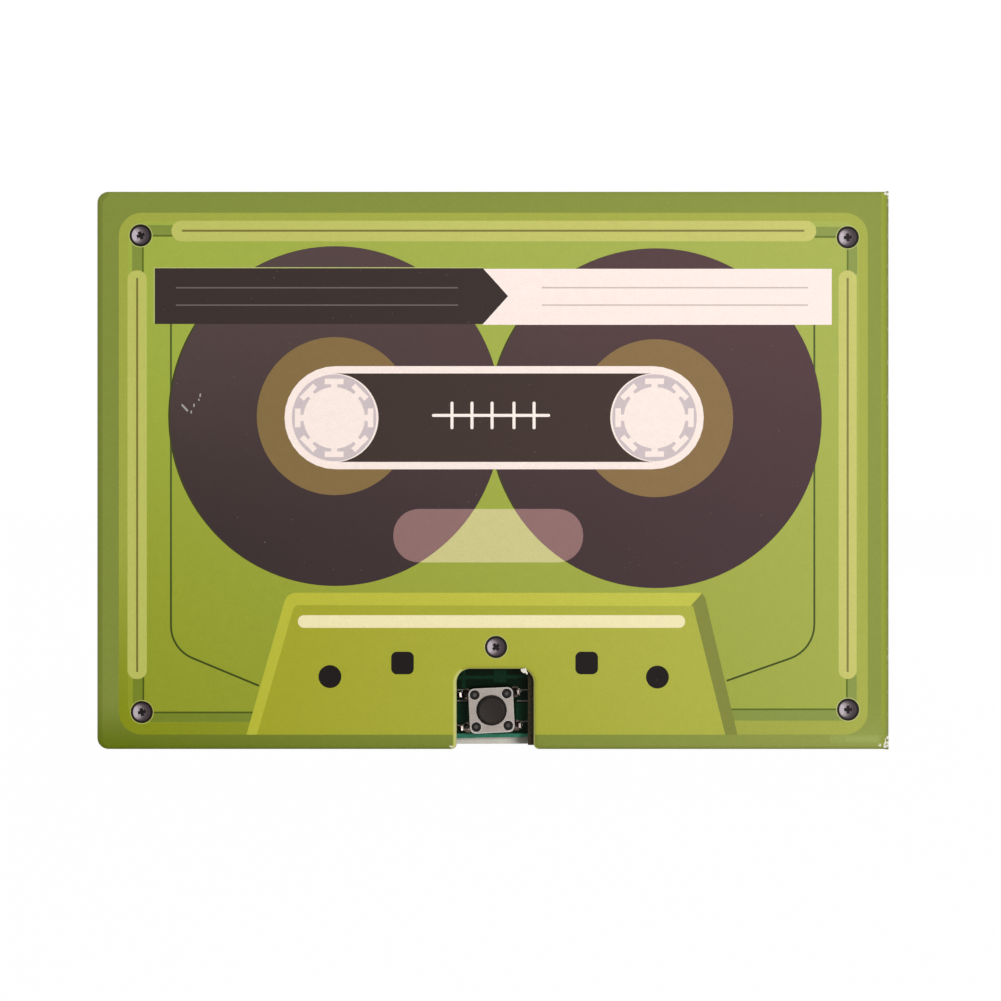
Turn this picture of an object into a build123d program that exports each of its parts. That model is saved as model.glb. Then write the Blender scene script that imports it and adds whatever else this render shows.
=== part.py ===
from build123d import *
import math
import os

# Recordable greeting card, closed and standing on its bottom edge, in millimetres.
# Every piece is drawn with the card lying on its back: x to the right, y up the card,
# z from the back to the printed front. Writing a piece stands it up: the printed front
# then faces -Y, the fold is on the right and the bottom edge rests at Z = 0.

# Card
card_width = 105.0
card_height = 74.0
corner_radius = 1.5        # the two corners away from the fold
edge_roll = 0.6            # how softly the paper rolls over the board's edges
print_turn = 0.75          # how far down the edges it is pressed
print_thick = 0.25
board_thick = 1.0
lining_thick = 0.15
lining_inset = 0.3
cover_gap = 0.1            # air between the closed cover and the page under it
fold_gap = 0.05            # each mitre stands back by this at the fold

# Notch over the push button, open at the bottom edge
notch_x = 0.32
notch_width = 10.24
notch_height = 10.66
notch_radius = 1.8
notch_mouth_radius = 0.7
page_notch_clear = 0.15

# Spacers and page between the two boards
rear_spacer_thick = 2.3
front_spacer_thick = 2.95
page_thick = 0.25
block_inset = 0.4
pocket_radius = 1.2
switch_slot_left = 0.1     # the slot's left side stands back behind the notch
switch_slot_right = -0.75  # its right side shows inside the notch

# Circuit board
circuit_width = 16.0
circuit_height = 30.0
circuit_thick = 1.0
circuit_x = 0.3
circuit_bottom = 1.1
circuit_turn = 1.0         # degrees, as it lies in its pocket
circuit_radius = 0.5
circuit_pocket_clear = 0.45
circuit_pad_thick = 1.2
circuit_pad_width = 14.0
circuit_pad_height = 4.0
circuit_pad_places = [-4.0, 9.0]

# Push switch
switch_x = -0.66
switch_from_edge = 3.98
switch_turn = 1.7          # degrees, beyond the circuit board's own
switch_side = 6.0
switch_corner = 0.8
switch_body_height = 3.5
switch_total_height = 4.3
switch_plate_thick = 0.3
switch_hole_radius = 1.98
stud_pitch = 4.26
stud_radius = 0.56
stud_clear = 0.07
stud_sunk = 0.12
well_radius = 2.4
well_floor = 1.3
dome_radius = 2.1
dome_spare = 0.3           # how high the disc still stands when it is pressed
dome_thick = 0.1
plunger_radius = 1.75
plunger_edge = 0.12
plunger_flange_radius = 2.2
plunger_flange_thick = 0.4
plunger_foot_radius = 0.8
plunger_play = 0.05
plunger_travel = 0.25

# Its leads and their solder
lead_pitch = 4.5
lead_span = 6.5
lead_knee_span = 7.5
lead_width = 0.7
lead_thick = 0.3
lead_height = 0.9
lead_below = 0.5
lead_hole_radius = 0.55
small_sides = 8            # facets round the studs, drops and lead holes
solder_radius = 0.95
solder_front_height = 0.28
solder_rear_height = 0.7

# Other pieces on the circuit board
chip_x = 0.8
chip_y = -0.6
chip_radius = 4.2
chip_height = 1.5
chip_shoulder = 0.9        # share of the radius reached at half the height
microphone_x = 4.2
microphone_y = 7.6
microphone_radius = 3.0
microphone_height = 2.0
microphone_wall = 0.2
microphone_hole_radius = 1.2
microphone_base_thick = 0.3
felt_radius = 2.4
felt_thick = 0.25
chip_part_length = 2.0
chip_part_width = 1.25
resistor_height = 0.5
capacitor_height = 0.9
resistor_places = [(-5.6, 6.0), (-5.6, 3.8), (-5.6, 1.6), (-5.6, -0.6), (-5.6, -2.8), (-2.2, 5.4)]
capacitor_places = [(-2.2, 8.2), (-2.2, 10.2), (-5.6, 8.6), (6.4, 2.6), (6.4, -3.2)]

# Speaker
round_sides = 32           # flat facets round the pieces that the card hides
speaker_from_fold = 21.0
speaker_radius = 16.0
speaker_pocket_clear = 0.4
speaker_pad_thick = 0.3
speaker_pad_radius = 7.0
yoke_radius = 8.5
yoke_wall = 1.2
yoke_height = 2.6
yoke_floor = 0.8
magnet_radius = 5.7
magnet_thick = 1.0
top_plate_radius = 5.9
top_plate_thick = 0.6
coil_clear = 0.4
coil_thick = 0.5
coil_travel = 0.3
coil_foot_clear = 0.2
basket_skin = 0.7
basket_rim_width = 2.8
basket_rim_thick = 1.25
basket_lap = 1.2           # the basket grips the yoke's wall over this height
basket_hole_share = 0.6    # of the width between the yoke and the basket's shoulder
basket_hole_count = 3
film_thick = 0.1
film_overlap = 0.9         # how far the film lies out over the basket's rim
film_neck_drop = 0.25      # the film's neck on the coil lies below its rim
film_dome_rise = 0.5
film_dome_flat = 0.6       # share of the dome that lies flat
ring_width = 2.4
ring_thick = 0.8
terminal_length = 4.5
terminal_width = 6.0
terminal_thick = 0.8
terminal_seat = 1.5
sound_hole_radius = 1.5
sound_hole_pitch = 6.0
sound_hole_count = 4

# Cells and their tray
tray_from_edge = 22.2
tray_over_middle = 3.5     # above the card's middle, clear of the circuit board
tray_wall = 1.2
tray_floor = 0.6
tray_height = 4.2
tray_pad_thick = 0.3
tray_pad_side = 8.0
tray_clear = 0.4
cell_radius = 5.8
cell_thick = 3.05
cell_edge = 0.4
cell_clear = 0.2
cell_count = 3
cell_pitch = 12.8
contact_width = 4.0
contact_thick = 0.2
contact_slot_clear = 0.25
contact_reach = 3.0
contact_fold = 2.2

# Wires
wire_radius = 0.4
wire_sides = 6
bend_share = 0.45          # share of the shorter run that a bend takes
hair = 0.02                # keeps two parts that almost touch from sharing a face
wire_lift = 0.1
wire_channel_top = 9.0     # above the tray's and the speaker's middle
wire_pad_from_edge = 1.6
wire_solder_radius = 0.95
wire_solder_over = 0.15
speaker_wire_pitch = 2.4
red_wire_reach = 1.6       # how far it leaves the tray before it turns
wire_pad_xs = [-4.2, -1.6, 2.2, 4.8]

# Levels, from the back to the front
back_board_z = print_thick
back_lining_z = back_board_z + board_thick
rear_spacer_z = back_lining_z + lining_thick
front_spacer_z = rear_spacer_z + rear_spacer_thick
page_z = front_spacer_z + front_spacer_thick
cover_z = page_z + page_thick + cover_gap
cover_board_z = cover_z + lining_thick
cover_print_z = cover_board_z + board_thick
card_thick = cover_print_z + print_thick
circuit_z = rear_spacer_z + circuit_pad_thick
circuit_top = circuit_z + circuit_thick
wire_z = circuit_top + wire_lift + wire_radius
dome_rise = plunger_travel + dome_spare

# Places across the card
half_width = card_width / 2
spine_inner_x = half_width - print_thick - board_thick
speaker_x = half_width - speaker_from_fold
speaker_y = card_height / 2
tray_x = tray_from_edge - half_width
tray_y = card_height / 2 + tray_over_middle
notch_left = notch_x - notch_width / 2
notch_right = notch_x + notch_width / 2
tray_length = (cell_count - 1) * cell_pitch + 2 * (cell_radius + cell_clear + tray_wall)
tray_width = 2 * (cell_radius + cell_clear + tray_wall)
tray_z = rear_spacer_z + tray_pad_thick
cell_z = tray_z + tray_floor + contact_thick
speaker_z = rear_spacer_z + speaker_pad_thick
circuit_y = circuit_bottom + circuit_height / 2

module_place = Pos(circuit_x, circuit_y, 0) * Rot(0, 0, circuit_turn)
switch_y = switch_from_edge - circuit_height / 2
switch_place = module_place * Pos(switch_x, switch_y, circuit_top) * Rot(0, 0, switch_turn)
speaker_place = Pos(speaker_x, speaker_y, 0)
stand_up = Plane(origin=(0, card_thick / 2, 0), x_dir=(1, 0, 0), z_dir=(0, -1, 0)).location


# Shared shapes
def block(x_low, x_high, y_low, y_high, z_low, z_high):
    middle = Pos((x_low + x_high) / 2, (y_low + y_high) / 2, (z_low + z_high) / 2)
    return middle * Box(x_high - x_low, y_high - y_low, z_high - z_low)


def disc(radius, z_low, z_high):
    return Pos(0, 0, (z_low + z_high) / 2) * Cylinder(radius, z_high - z_low)


def drum(radius, z_low, z_high):
    """A round piece that the card hides, in flat facets."""
    return upright(RegularPolygon(radius, round_sides), z_low, z_high - z_low)


def narrowing(foot, top, height, sides):
    """A many-sided piece on z = 0 whose radius goes from foot to top."""
    change = (foot - top) * math.cos(math.pi / sides)
    lean = math.degrees(math.atan2(change, height))
    return extrude(RegularPolygon(foot, sides), amount=height, taper=lean)


def upright(sketch, z_low, thick):
    return extrude(Pos(0, 0, z_low) * sketch, thick)


def spun(points):
    """A closed outline of (radius, z) points, turned about the z axis."""
    return revolve(Plane.XZ * make_face(Polyline(*points, close=True)), Axis.Z)


def prism(points, y_low, y_high):
    """A closed outline of (x, z) points, drawn out along y."""
    side = Plane(origin=(0, y_high, 0), x_dir=(1, 0, 0), z_dir=(0, -1, 0))
    return extrude(side * make_face(Polyline(*points, close=True)), y_high - y_low)


# Outlines of the sheets
def sheet_outline(inset, right_x):
    left_x = inset - half_width
    middle = Pos((left_x + right_x) / 2, card_height / 2)
    face = middle * Rectangle(right_x - left_x, card_height - 2 * inset)
    left_corners = face.vertices().group_by(Axis.X)[0]
    return fillet(left_corners, corner_radius - inset)


def notch_outline(grow):
    top = notch_height + grow
    face = Pos(notch_x, 0) * Rectangle(notch_width + 2 * grow, 2 * top)
    top_corners = face.vertices().group_by(Axis.Y)[-1]
    return fillet(top_corners, notch_radius + grow)


def notched_outline(inset, right_x):
    face = sheet_outline(inset, right_x) - notch_outline(inset)
    near_mouth = notch_width / 2 + inset + 0.01
    mouth = [v for v in face.vertices() if abs(v.Y - inset) < 0.01 and abs(v.X - notch_x) < near_mouth]
    return fillet(mouth, notch_mouth_radius - inset)


def rolled_edges(solid, level, keep_x):
    """The edges at one level, apart from any that lie at or beyond keep_x."""
    rim = solid.edges().filter_by_position(Axis.Z, level - 0.001, level + 0.001)
    return [edge for edge in rim if edge.center().X < keep_x]


# Front cover
def cover_slab(inset, top_z):
    return upright(notched_outline(inset, half_width), cover_board_z, top_z - cover_board_z)


def cover_solid():
    slab = cover_slab(0, card_thick)
    return fillet(rolled_edges(slab, card_thick, half_width - 0.01), edge_roll)


def cover_side_of_fold():
    """Everything past the cover's mitred end."""
    reach = 2 * card_thick
    tip = half_width - fold_gap
    corner = [(tip, card_thick), (tip - reach, card_thick - reach), (tip + reach, card_thick - reach)]
    corner.append((tip + reach, card_thick + reach))
    corner.append((tip, card_thick + reach))
    return prism(corner, -reach, card_height + reach)


def fold_corner():
    """What the paper's bend takes off the sharp corner, so that it stays one sheet thick."""
    x = half_width - print_thick
    z = card_thick - print_thick
    bend = Circle(print_thick)
    bar = extrude(Plane.XZ.offset(1) * Pos(x, z) * bend, -card_height - 2)
    return block(x, half_width + 1, -1, card_height + 1, z, card_thick + 1) - bar


def whole_front_print():
    """The paper lies on the front and is pressed down over the board's rounded edges."""
    under = cover_slab(print_thick, cover_print_z)
    under = chamfer(rolled_edges(under, cover_print_z, half_width - 0.01), edge_roll - print_thick)
    raw_edge = block(-card_width, card_width, -1, card_height + 1, 0, card_thick - print_turn)
    return cover_solid() - under - raw_edge


def front_print_sheet():
    return whole_front_print() - cover_side_of_fold() - fold_corner()


def front_board():
    return cover_solid() - whole_front_print() - cover_side_of_fold()


def front_lining():
    sheet = upright(notched_outline(lining_inset, half_width), cover_z, lining_thick)
    return sheet - cover_side_of_fold()


# Back and spine
def back_slab(inset):
    return upright(sheet_outline(inset, half_width - inset), inset, card_thick - inset)


def back_solid():
    slab = back_slab(0)
    return fillet(rolled_edges(slab, 0, card_width), edge_roll)


def spine_side_of_fold():
    """Everything in front of the spine's mitred edge."""
    top = card_thick - fold_gap
    run = half_width - spine_inner_x + 1
    corner = [(half_width, top), (half_width - run, top - run), (half_width - run, top + run)]
    corner.append((half_width + run, top + run))
    corner.append((half_width + run, top))
    return prism(corner, -run, card_height + run)


def back_print_sheet():
    """One sheet lies on the back and the spine, pressed down over the boards' edges."""
    under = back_slab(print_thick)
    under = chamfer(rolled_edges(under, print_thick, card_width), edge_roll - print_thick)
    wrap = back_solid() - under - spine_side_of_fold()
    raw_edge = block(-card_width, half_width - print_turn, -1, card_height + 1, print_turn, 2 * card_thick)
    return wrap - raw_edge - fold_corner()


def boards():
    return back_solid() - back_print_sheet() - spine_side_of_fold() - fold_corner()


def back_board():
    return boards() & block(-card_width, spine_inner_x, -1, card_height + 1, -1, back_lining_z)


def spine_board():
    return boards() & block(spine_inner_x, card_width, -1, card_height + 1, -1, card_thick)


def back_lining():
    return upright(sheet_outline(lining_inset, spine_inner_x), back_lining_z, lining_thick)


# Spacers and page
def pocket(x_low, x_high, y_low, y_high):
    middle = Pos((x_low + x_high) / 2, (y_low + y_high) / 2)
    face = middle * Rectangle(x_high - x_low, y_high - y_low)
    return fillet(face.vertices(), pocket_radius)


def tray_pocket():
    left = tray_x - tray_length / 2 - tray_clear
    low = tray_y - tray_width / 2 - tray_clear
    return pocket(left, tray_x + tray_length / 2, low, tray_y + wire_channel_top)


def wire_pocket():
    left = tray_x + tray_length / 2 - pocket_radius * 2
    right = speaker_x - speaker_radius + pocket_radius
    return pocket(left, right, circuit_y + circuit_height / 2 - 2, tray_y + wire_channel_top)


def speaker_pocket():
    return Pos(speaker_x, speaker_y) * RegularPolygon(speaker_radius + speaker_pocket_clear, round_sides)


def circuit_pocket(y_low):
    side = circuit_width / 2 + circuit_pocket_clear
    top = circuit_y + circuit_height / 2 + circuit_pocket_clear
    return pocket(circuit_x - side, circuit_x + side, y_low, top)


def module_pockets():
    return tray_pocket() + wire_pocket() + speaker_pocket()


def rear_spacer():
    face = sheet_outline(block_inset, spine_inner_x) - module_pockets() - circuit_pocket(-pocket_radius * 2)
    return upright(face, rear_spacer_z, rear_spacer_thick)


def front_spacer():
    over_notch = notch_height + 2 * page_notch_clear
    face = sheet_outline(block_inset, spine_inner_x) - module_pockets() - circuit_pocket(over_notch)
    slot_left = notch_left - switch_slot_left
    slot_right = notch_right + switch_slot_right
    face -= Pos((slot_left + slot_right) / 2, 0) * Rectangle(slot_right - slot_left, 2 * over_notch + 2)
    return upright(face, front_spacer_z, front_spacer_thick)


def sound_holes():
    """One hole over the speaker's middle and a ring of holes round it."""
    places = [Pos(0, 0)] + list(PolarLocations(sound_hole_pitch, sound_hole_count))
    return [Pos(speaker_x, speaker_y) * place * Circle(sound_hole_radius) for place in places]


def message_page():
    face = sheet_outline(block_inset, spine_inner_x) - notch_outline(page_notch_clear)
    for hole in sound_holes():
        face -= hole
    return upright(face, page_z, page_thick)


# Circuit board and its small parts
def on_circuit(x, y):
    return module_place * Pos(x, y, circuit_top)


def lead_places():
    return [(side * lead_span / 2, row * lead_pitch / 2) for side in (-1, 1) for row in (-1, 1)]


def circuit_board():
    face = RectangleRounded(circuit_width, circuit_height, circuit_radius)
    board = module_place * upright(face, circuit_z, circuit_thick)
    for x, y in lead_places():
        hole = Pos(x, y) * RegularPolygon(lead_hole_radius, small_sides)
        board -= switch_place * upright(hole, -2 * circuit_thick, 3 * circuit_thick)
    return board


def sound_chip():
    """A drop of epoxy that has run out flat, steeper towards its foot."""
    line = [(0, 0), (chip_radius, 0), (chip_shoulder * chip_radius, chip_height / 2)]
    line += [(chip_radius / 2, chip_height), (0, chip_height)]
    return on_circuit(chip_x, chip_y) * spun(line)


def small_parts(places, height):
    part = Box(chip_part_length, chip_part_width, height, align=(Align.CENTER, Align.CENTER, Align.MIN))
    return [on_circuit(x, y) * part for x, y in places]


def microphone_can():
    low = microphone_base_thick
    high = low + microphone_height
    inner = microphone_radius - microphone_wall
    can = drum(microphone_radius, low, high) - drum(inner, low, high - microphone_wall)
    can -= drum(microphone_hole_radius, low, high)
    return on_circuit(microphone_x, microphone_y) * can


def microphone_base():
    return on_circuit(microphone_x, microphone_y) * drum(microphone_radius, 0, microphone_base_thick)


def microphone_felt():
    low = microphone_base_thick + microphone_height
    return on_circuit(microphone_x, microphone_y) * drum(felt_radius, low, low + felt_thick)


# Push switch
def stud_places():
    return [(x * stud_pitch / 2, y * stud_pitch / 2) for x in (-1, 1) for y in (-1, 1)]


def switch_plate_z():
    return switch_body_height - switch_plate_thick


def switch_base():
    base = upright(RectangleRounded(switch_side, switch_side, switch_corner), 0, switch_plate_z())
    base -= disc(well_radius, well_floor, switch_body_height)
    for x, y in stud_places():
        stud = Pos(x, y) * RegularPolygon(stud_radius, small_sides)
        base += upright(stud, switch_plate_z(), switch_plate_thick - stud_sunk)
    return switch_place * base


def switch_cover_plate():
    face = RectangleRounded(switch_side, switch_side, switch_corner) - Circle(switch_hole_radius)
    for x, y in stud_places():
        face -= Pos(x, y) * RegularPolygon(stud_radius + stud_clear, small_sides)
    return switch_place * upright(face, switch_plate_z(), switch_plate_thick)


def switch_dome():
    """A thin snap disc on the floor of the well, flat in its middle."""
    top = well_floor + dome_rise
    flat = dome_radius / 3
    outer = [(0, top), (flat, top), (dome_radius, well_floor + dome_thick), (dome_radius, well_floor)]
    inner = [(dome_radius - dome_thick, well_floor), (flat, top - dome_thick), (0, top - dome_thick)]
    return switch_place * spun(outer + inner)


def plunger_foot_z():
    return well_floor + dome_rise + plunger_play


def switch_plunger():
    flange_top = switch_plate_z() - plunger_play
    flange_low = flange_top - plunger_flange_thick
    cap = disc(plunger_radius, flange_low, switch_total_height)
    cap = chamfer(cap.edges().sort_by(Axis.Z)[-1], plunger_edge)
    flange = disc(plunger_flange_radius, flange_low, flange_top)
    foot = disc(plunger_foot_radius, plunger_foot_z(), flange_low)
    return switch_place * (cap + flange + foot)


def lead_outline(side):
    """The lead's bent strip seen along y, from the switch's side down through the board."""
    outer = lead_knee_span / 2
    inner = switch_side / 2
    leg_out = lead_span / 2 + lead_thick / 2
    leg_in = leg_out - lead_thick
    knee = lead_height - lead_thick
    end = -circuit_thick - lead_below
    top = [(inner, lead_height), (outer - lead_thick / 2, lead_height), (outer, knee)]
    leg = [(leg_out, hair), (leg_out, end), (leg_in, end), (leg_in, hair)]
    back = [(outer - lead_thick, knee - hair), (inner, knee)]
    return [(side * x, z) for x, z in top + leg + back]


def lead_at(x, y):
    side = 1 if x > 0 else -1
    return prism(lead_outline(side), y - lead_width / 2, y + lead_width / 2)


def switch_leads():
    return [switch_place * lead_at(x, y) for x, y in lead_places()]


def drop(radius, height):
    """A faceted drop of solder drawn up to half its width, standing on z = 0."""
    return narrowing(radius, radius / 2, height, small_sides)


def lead_solder():
    joints = []
    switch_body = Box(switch_side, switch_side, switch_total_height)
    for x, y in lead_places():
        lead = lead_at(x, y)
        front = Pos(x, y, 0) * drop(solder_radius, solder_front_height)
        rear = Pos(x, y, -circuit_thick) * Rot(180, 0, 0) * drop(solder_radius, solder_rear_height)
        joints.append(switch_place * (front - lead - switch_body))
        joints.append(switch_place * (rear - lead))
    return joints


# Speaker
def speaker_yoke():
    top = speaker_z + yoke_height
    cup = drum(yoke_radius, speaker_z, top) - drum(yoke_radius - yoke_wall, magnet_z(), top)
    return speaker_place * cup


def magnet_z():
    return speaker_z + yoke_floor


def speaker_magnet():
    return speaker_place * drum(magnet_radius, magnet_z(), magnet_z() + magnet_thick)


def speaker_top_plate():
    low = magnet_z() + magnet_thick
    return speaker_place * drum(top_plate_radius, low, low + top_plate_thick)


def rim_z():
    """The rim's front face, under the film, the card ring and the page."""
    return page_z - ring_thick - film_thick


def rim_inner():
    return speaker_radius - basket_rim_width


def film_neck_z():
    return rim_z() - film_neck_drop


def speaker_basket():
    """A pressed pan: a flat floor round the yoke, a step up and the rim."""
    floor_z = speaker_z + yoke_height - basket_lap
    top = rim_z()
    inside = rim_inner() - basket_skin
    basket = drum(rim_inner(), floor_z, top) + drum(speaker_radius, top - basket_rim_thick, top)
    basket -= drum(inside, floor_z + basket_skin, top)
    basket -= drum(yoke_radius, floor_z, top)
    floor_width = inside - yoke_radius
    for place in PolarLocations(yoke_radius + floor_width / 2, basket_hole_count):
        basket -= place * drum(basket_hole_share * floor_width / 2, 0, card_thick)
    return speaker_place * basket


def under_film(lift):
    """All that lies under the film: a shallow funnel down to the coil, with a dome inside it."""
    neck_in = top_plate_radius + coil_clear
    neck_out = neck_in + coil_thick
    mouth = rim_inner() - basket_skin
    funnel = narrowing(neck_out, mouth, film_neck_drop, round_sides)
    dome = narrowing(neck_in, film_dome_flat * neck_in, film_dome_rise, round_sides)
    solid = drum(rim_inner() + film_overlap, magnet_z(), rim_z())
    solid -= Pos(0, 0, film_neck_z()) * funnel
    solid += Pos(0, 0, film_neck_z()) * dome
    return Pos(0, 0, lift) * solid


def diaphragm():
    return speaker_place * (under_film(film_thick) - under_film(0))


def voice_coil():
    inner = top_plate_radius + coil_clear
    low = magnet_z() + coil_travel + coil_foot_clear
    top = film_neck_z()
    return speaker_place * (drum(inner + coil_thick, low, top) - drum(inner, low, top))


def speaker_ring():
    low = rim_z() + film_thick
    inner = speaker_radius - ring_width
    return speaker_place * (drum(speaker_radius, low, page_z) - drum(inner, low, page_z))


def terminal_end_x():
    return speaker_x - speaker_radius - terminal_length + terminal_seat


def speaker_terminals():
    high = rim_z() - basket_rim_thick
    x_low = terminal_end_x()
    half = terminal_width / 2
    x_high = x_low + terminal_length
    return block(x_low, x_high, speaker_y - half, speaker_y + half, high - terminal_thick, high)


# Cells, tray and contacts
def cell_xs():
    first = tray_x - (cell_count - 1) * cell_pitch / 2
    return [first + number * cell_pitch for number in range(cell_count)]


def battery_tray():
    left = tray_x - tray_length / 2
    right = tray_x + tray_length / 2
    low = tray_y - tray_width / 2
    high = tray_y + tray_width / 2
    floor = tray_z + tray_floor
    top = tray_z + tray_height
    tray = block(left, right, low, high, tray_z, top)
    tray = fillet(tray.edges().filter_by(Axis.Z), tray_wall / 2)
    for x in cell_xs():
        tray -= Pos(x, tray_y) * drum(cell_radius + cell_clear, floor, top)
    slot = contact_width / 2 + contact_slot_clear
    first = cell_xs()[0]
    tray -= block(first, right, tray_y - slot, tray_y + slot, floor, top)
    tray -= block(first - slot, first + slot, tray_y, high, floor, top)
    return tray


def button_cells():
    cells = []
    for x in cell_xs():
        cell = drum(cell_radius, cell_z + cell_edge / 2, cell_z + cell_thick)
        cell += drum(cell_radius - cell_edge, cell_z, cell_z + cell_edge / 2)
        cells.append(Pos(x, tray_y) * cell)
    return cells


def flat_strip(x_low, x_high, z_low):
    half = contact_width / 2
    return block(x_low, x_high, tray_y - half, tray_y + half, z_low, z_low + contact_thick)


def cell_contacts():
    """A strip joins each pair of cells, over and under in turn, and both end strips fold at a wall."""
    under = cell_z - contact_thick
    over = cell_z + cell_thick
    xs = cell_xs()
    strips = []
    for number in range(cell_count - 1):
        level = over if number % 2 == 0 else under
        strips.append(flat_strip(xs[number] - contact_reach, xs[number + 1] + contact_reach, level))
    half = contact_width / 2
    wall = tray_y + tray_width / 2
    first = block(xs[0] - half, xs[0] + half, tray_y - half, wall + contact_thick, under, cell_z)
    first += block(xs[0] - half, xs[0] + half, wall, wall + contact_thick, under, under + contact_fold)
    end = tray_x + tray_length / 2
    last = flat_strip(xs[-1] - contact_reach, end + contact_thick, over)
    tip = end + contact_thick
    last += block(end, tip, tray_y - half, tray_y + half, over - contact_fold, over + contact_thick)
    return strips + [first, last]


# Wires, each on one flat route
def bend_radii(points):
    """Each corner's arc takes the same share of its shorter run."""
    radii = []
    for before, here, after in zip(points, points[1:], points[2:]):
        one = Vector(*here) - Vector(*before)
        two = Vector(*after) - Vector(*here)
        half_turn = math.radians(one.get_angle(two)) / 2
        radii.append(bend_share * min(one.length, two.length) / math.tan(half_turn))
    return radii


def wire(name, points):
    radii = bend_radii(points)
    path = FilletPolyline(*points, radius=radii)
    section = Plane(path @ 0, z_dir=path % 0) * RegularPolygon(wire_radius, wire_sides)
    run = sweep(section, path=path)
    print(name, "bends", [round(radius, 1) for radius in radii], "length", round(path.length, 1))
    print(name, "volume over length times section", round(run.volume / (path.length * section.area), 3))
    return run


def wire_pads():
    """The four pads along the circuit board's top edge, from left to right."""
    y = circuit_height / 2 - wire_pad_from_edge
    spots = [on_circuit(x, y).position for x in wire_pad_xs]
    return [(spot.X, spot.Y) for spot in spots]


def level_route(points):
    return [(x, y, wire_z) for x, y in points]


def red_route():
    start_x = tray_x + tray_length / 2 + contact_thick
    out_x = start_x + red_wire_reach
    low_y = tray_y - tray_width / 2
    return level_route([(start_x, tray_y), (out_x, tray_y), (out_x, low_y), wire_pads()[0]])


def black_route():
    pad_x, pad_y = wire_pads()[1]
    side_y = tray_y + tray_width / 2 + contact_thick + wire_radius + hair
    end_x = tray_x + tray_length / 2
    start_x = cell_xs()[0] - contact_width / 4
    along = [(start_x, side_y), ((start_x + end_x) / 2, side_y + 0.3), (end_x - 2, side_y)]
    turn = [(pad_x - 1, side_y - 0.9), (pad_x + 0.3, tray_y + 1), (pad_x, pad_y)]
    return level_route(along + turn)


def speaker_route(number):
    pad_x, pad_y = wire_pads()[2 + number]
    start_y = speaker_y + (0.5 - number) * speaker_wire_pitch
    turn_x = (terminal_end_x() + pad_x) / 2 + 0.6
    points = [(terminal_end_x(), start_y), (turn_x, start_y), (pad_x + 0.2, start_y - 2.6), (pad_x, pad_y)]
    return level_route(points)


def all_wires():
    red = wire("red battery wire", red_route())
    black = wire("black battery wire", black_route())
    pair = [wire("speaker wire", speaker_route(number)) for number in (0, 1)]
    return red, black, pair


def wire_solder(wires):
    height = 2 * wire_radius + wire_lift + wire_solder_over
    places = zip(wire_pads(), wires)
    return [Pos(x, y, circuit_top) * drop(wire_solder_radius, height) - run for (x, y), run in places]


def foam_pads():
    pads = []
    for y in circuit_pad_places:
        pad = Rectangle(circuit_pad_width, circuit_pad_height)
        pads.append(module_place * upright(Pos(0, y) * pad, rear_spacer_z, circuit_pad_thick))
    for x in (cell_xs()[0], cell_xs()[-1]):
        pad = Pos(x, tray_y) * Rectangle(tray_pad_side, tray_pad_side)
        pads.append(upright(pad, rear_spacer_z, tray_pad_thick))
    pads.append(speaker_place * drum(speaker_pad_radius, rear_spacer_z, speaker_z))
    return pads


def write(name, shape):
    pieces = shape if isinstance(shape, list) else [shape]
    solids = [stand_up * solid for piece in pieces for solid in piece.solids()]
    whole = solids[0] if len(solids) == 1 else Compound(children=solids)
    export_step(whole, f"parts/{name}.step")


def main():
    os.makedirs("parts", exist_ok=True)
    red, black, pair = all_wires()
    write("front_print_sheet", front_print_sheet())
    write("front_board", front_board())
    write("front_lining", front_lining())
    write("back_print_sheet", back_print_sheet())
    write("back_board", back_board())
    write("spine_board", spine_board())
    write("back_lining", back_lining())
    write("rear_spacer", rear_spacer())
    write("front_spacer", front_spacer())
    write("message_page", message_page())
    write("circuit_board", circuit_board())
    write("sound_chip", sound_chip())
    write("resistors", small_parts(resistor_places, resistor_height))
    write("capacitors", small_parts(capacitor_places, capacitor_height))
    write("microphone_can", microphone_can())
    write("microphone_base", microphone_base())
    write("microphone_felt", microphone_felt())
    write("switch_base", switch_base())
    write("switch_cover_plate", switch_cover_plate())
    write("switch_dome", switch_dome())
    write("switch_plunger", switch_plunger())
    write("switch_leads", switch_leads())
    write("solder_joints", lead_solder() + wire_solder([red, black] + pair))
    write("speaker_yoke", speaker_yoke())
    write("speaker_magnet", speaker_magnet())
    write("speaker_top_plate", speaker_top_plate())
    write("speaker_basket", speaker_basket())
    write("diaphragm", diaphragm())
    write("voice_coil", voice_coil())
    write("speaker_ring", speaker_ring())
    write("speaker_terminals", speaker_terminals())
    write("speaker_wires", pair)
    write("battery_tray", battery_tray())
    write("button_cells", button_cells())
    write("cell_contacts", cell_contacts())
    write("battery_wire_red", red)
    write("battery_wire_black", black)
    write("foam_pads", foam_pads())


main()
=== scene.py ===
import math
import random

import bmesh
import bpy
from mathutils import Matrix, Vector
from mathutils.geometry import delaunay_2d_cdt


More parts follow.
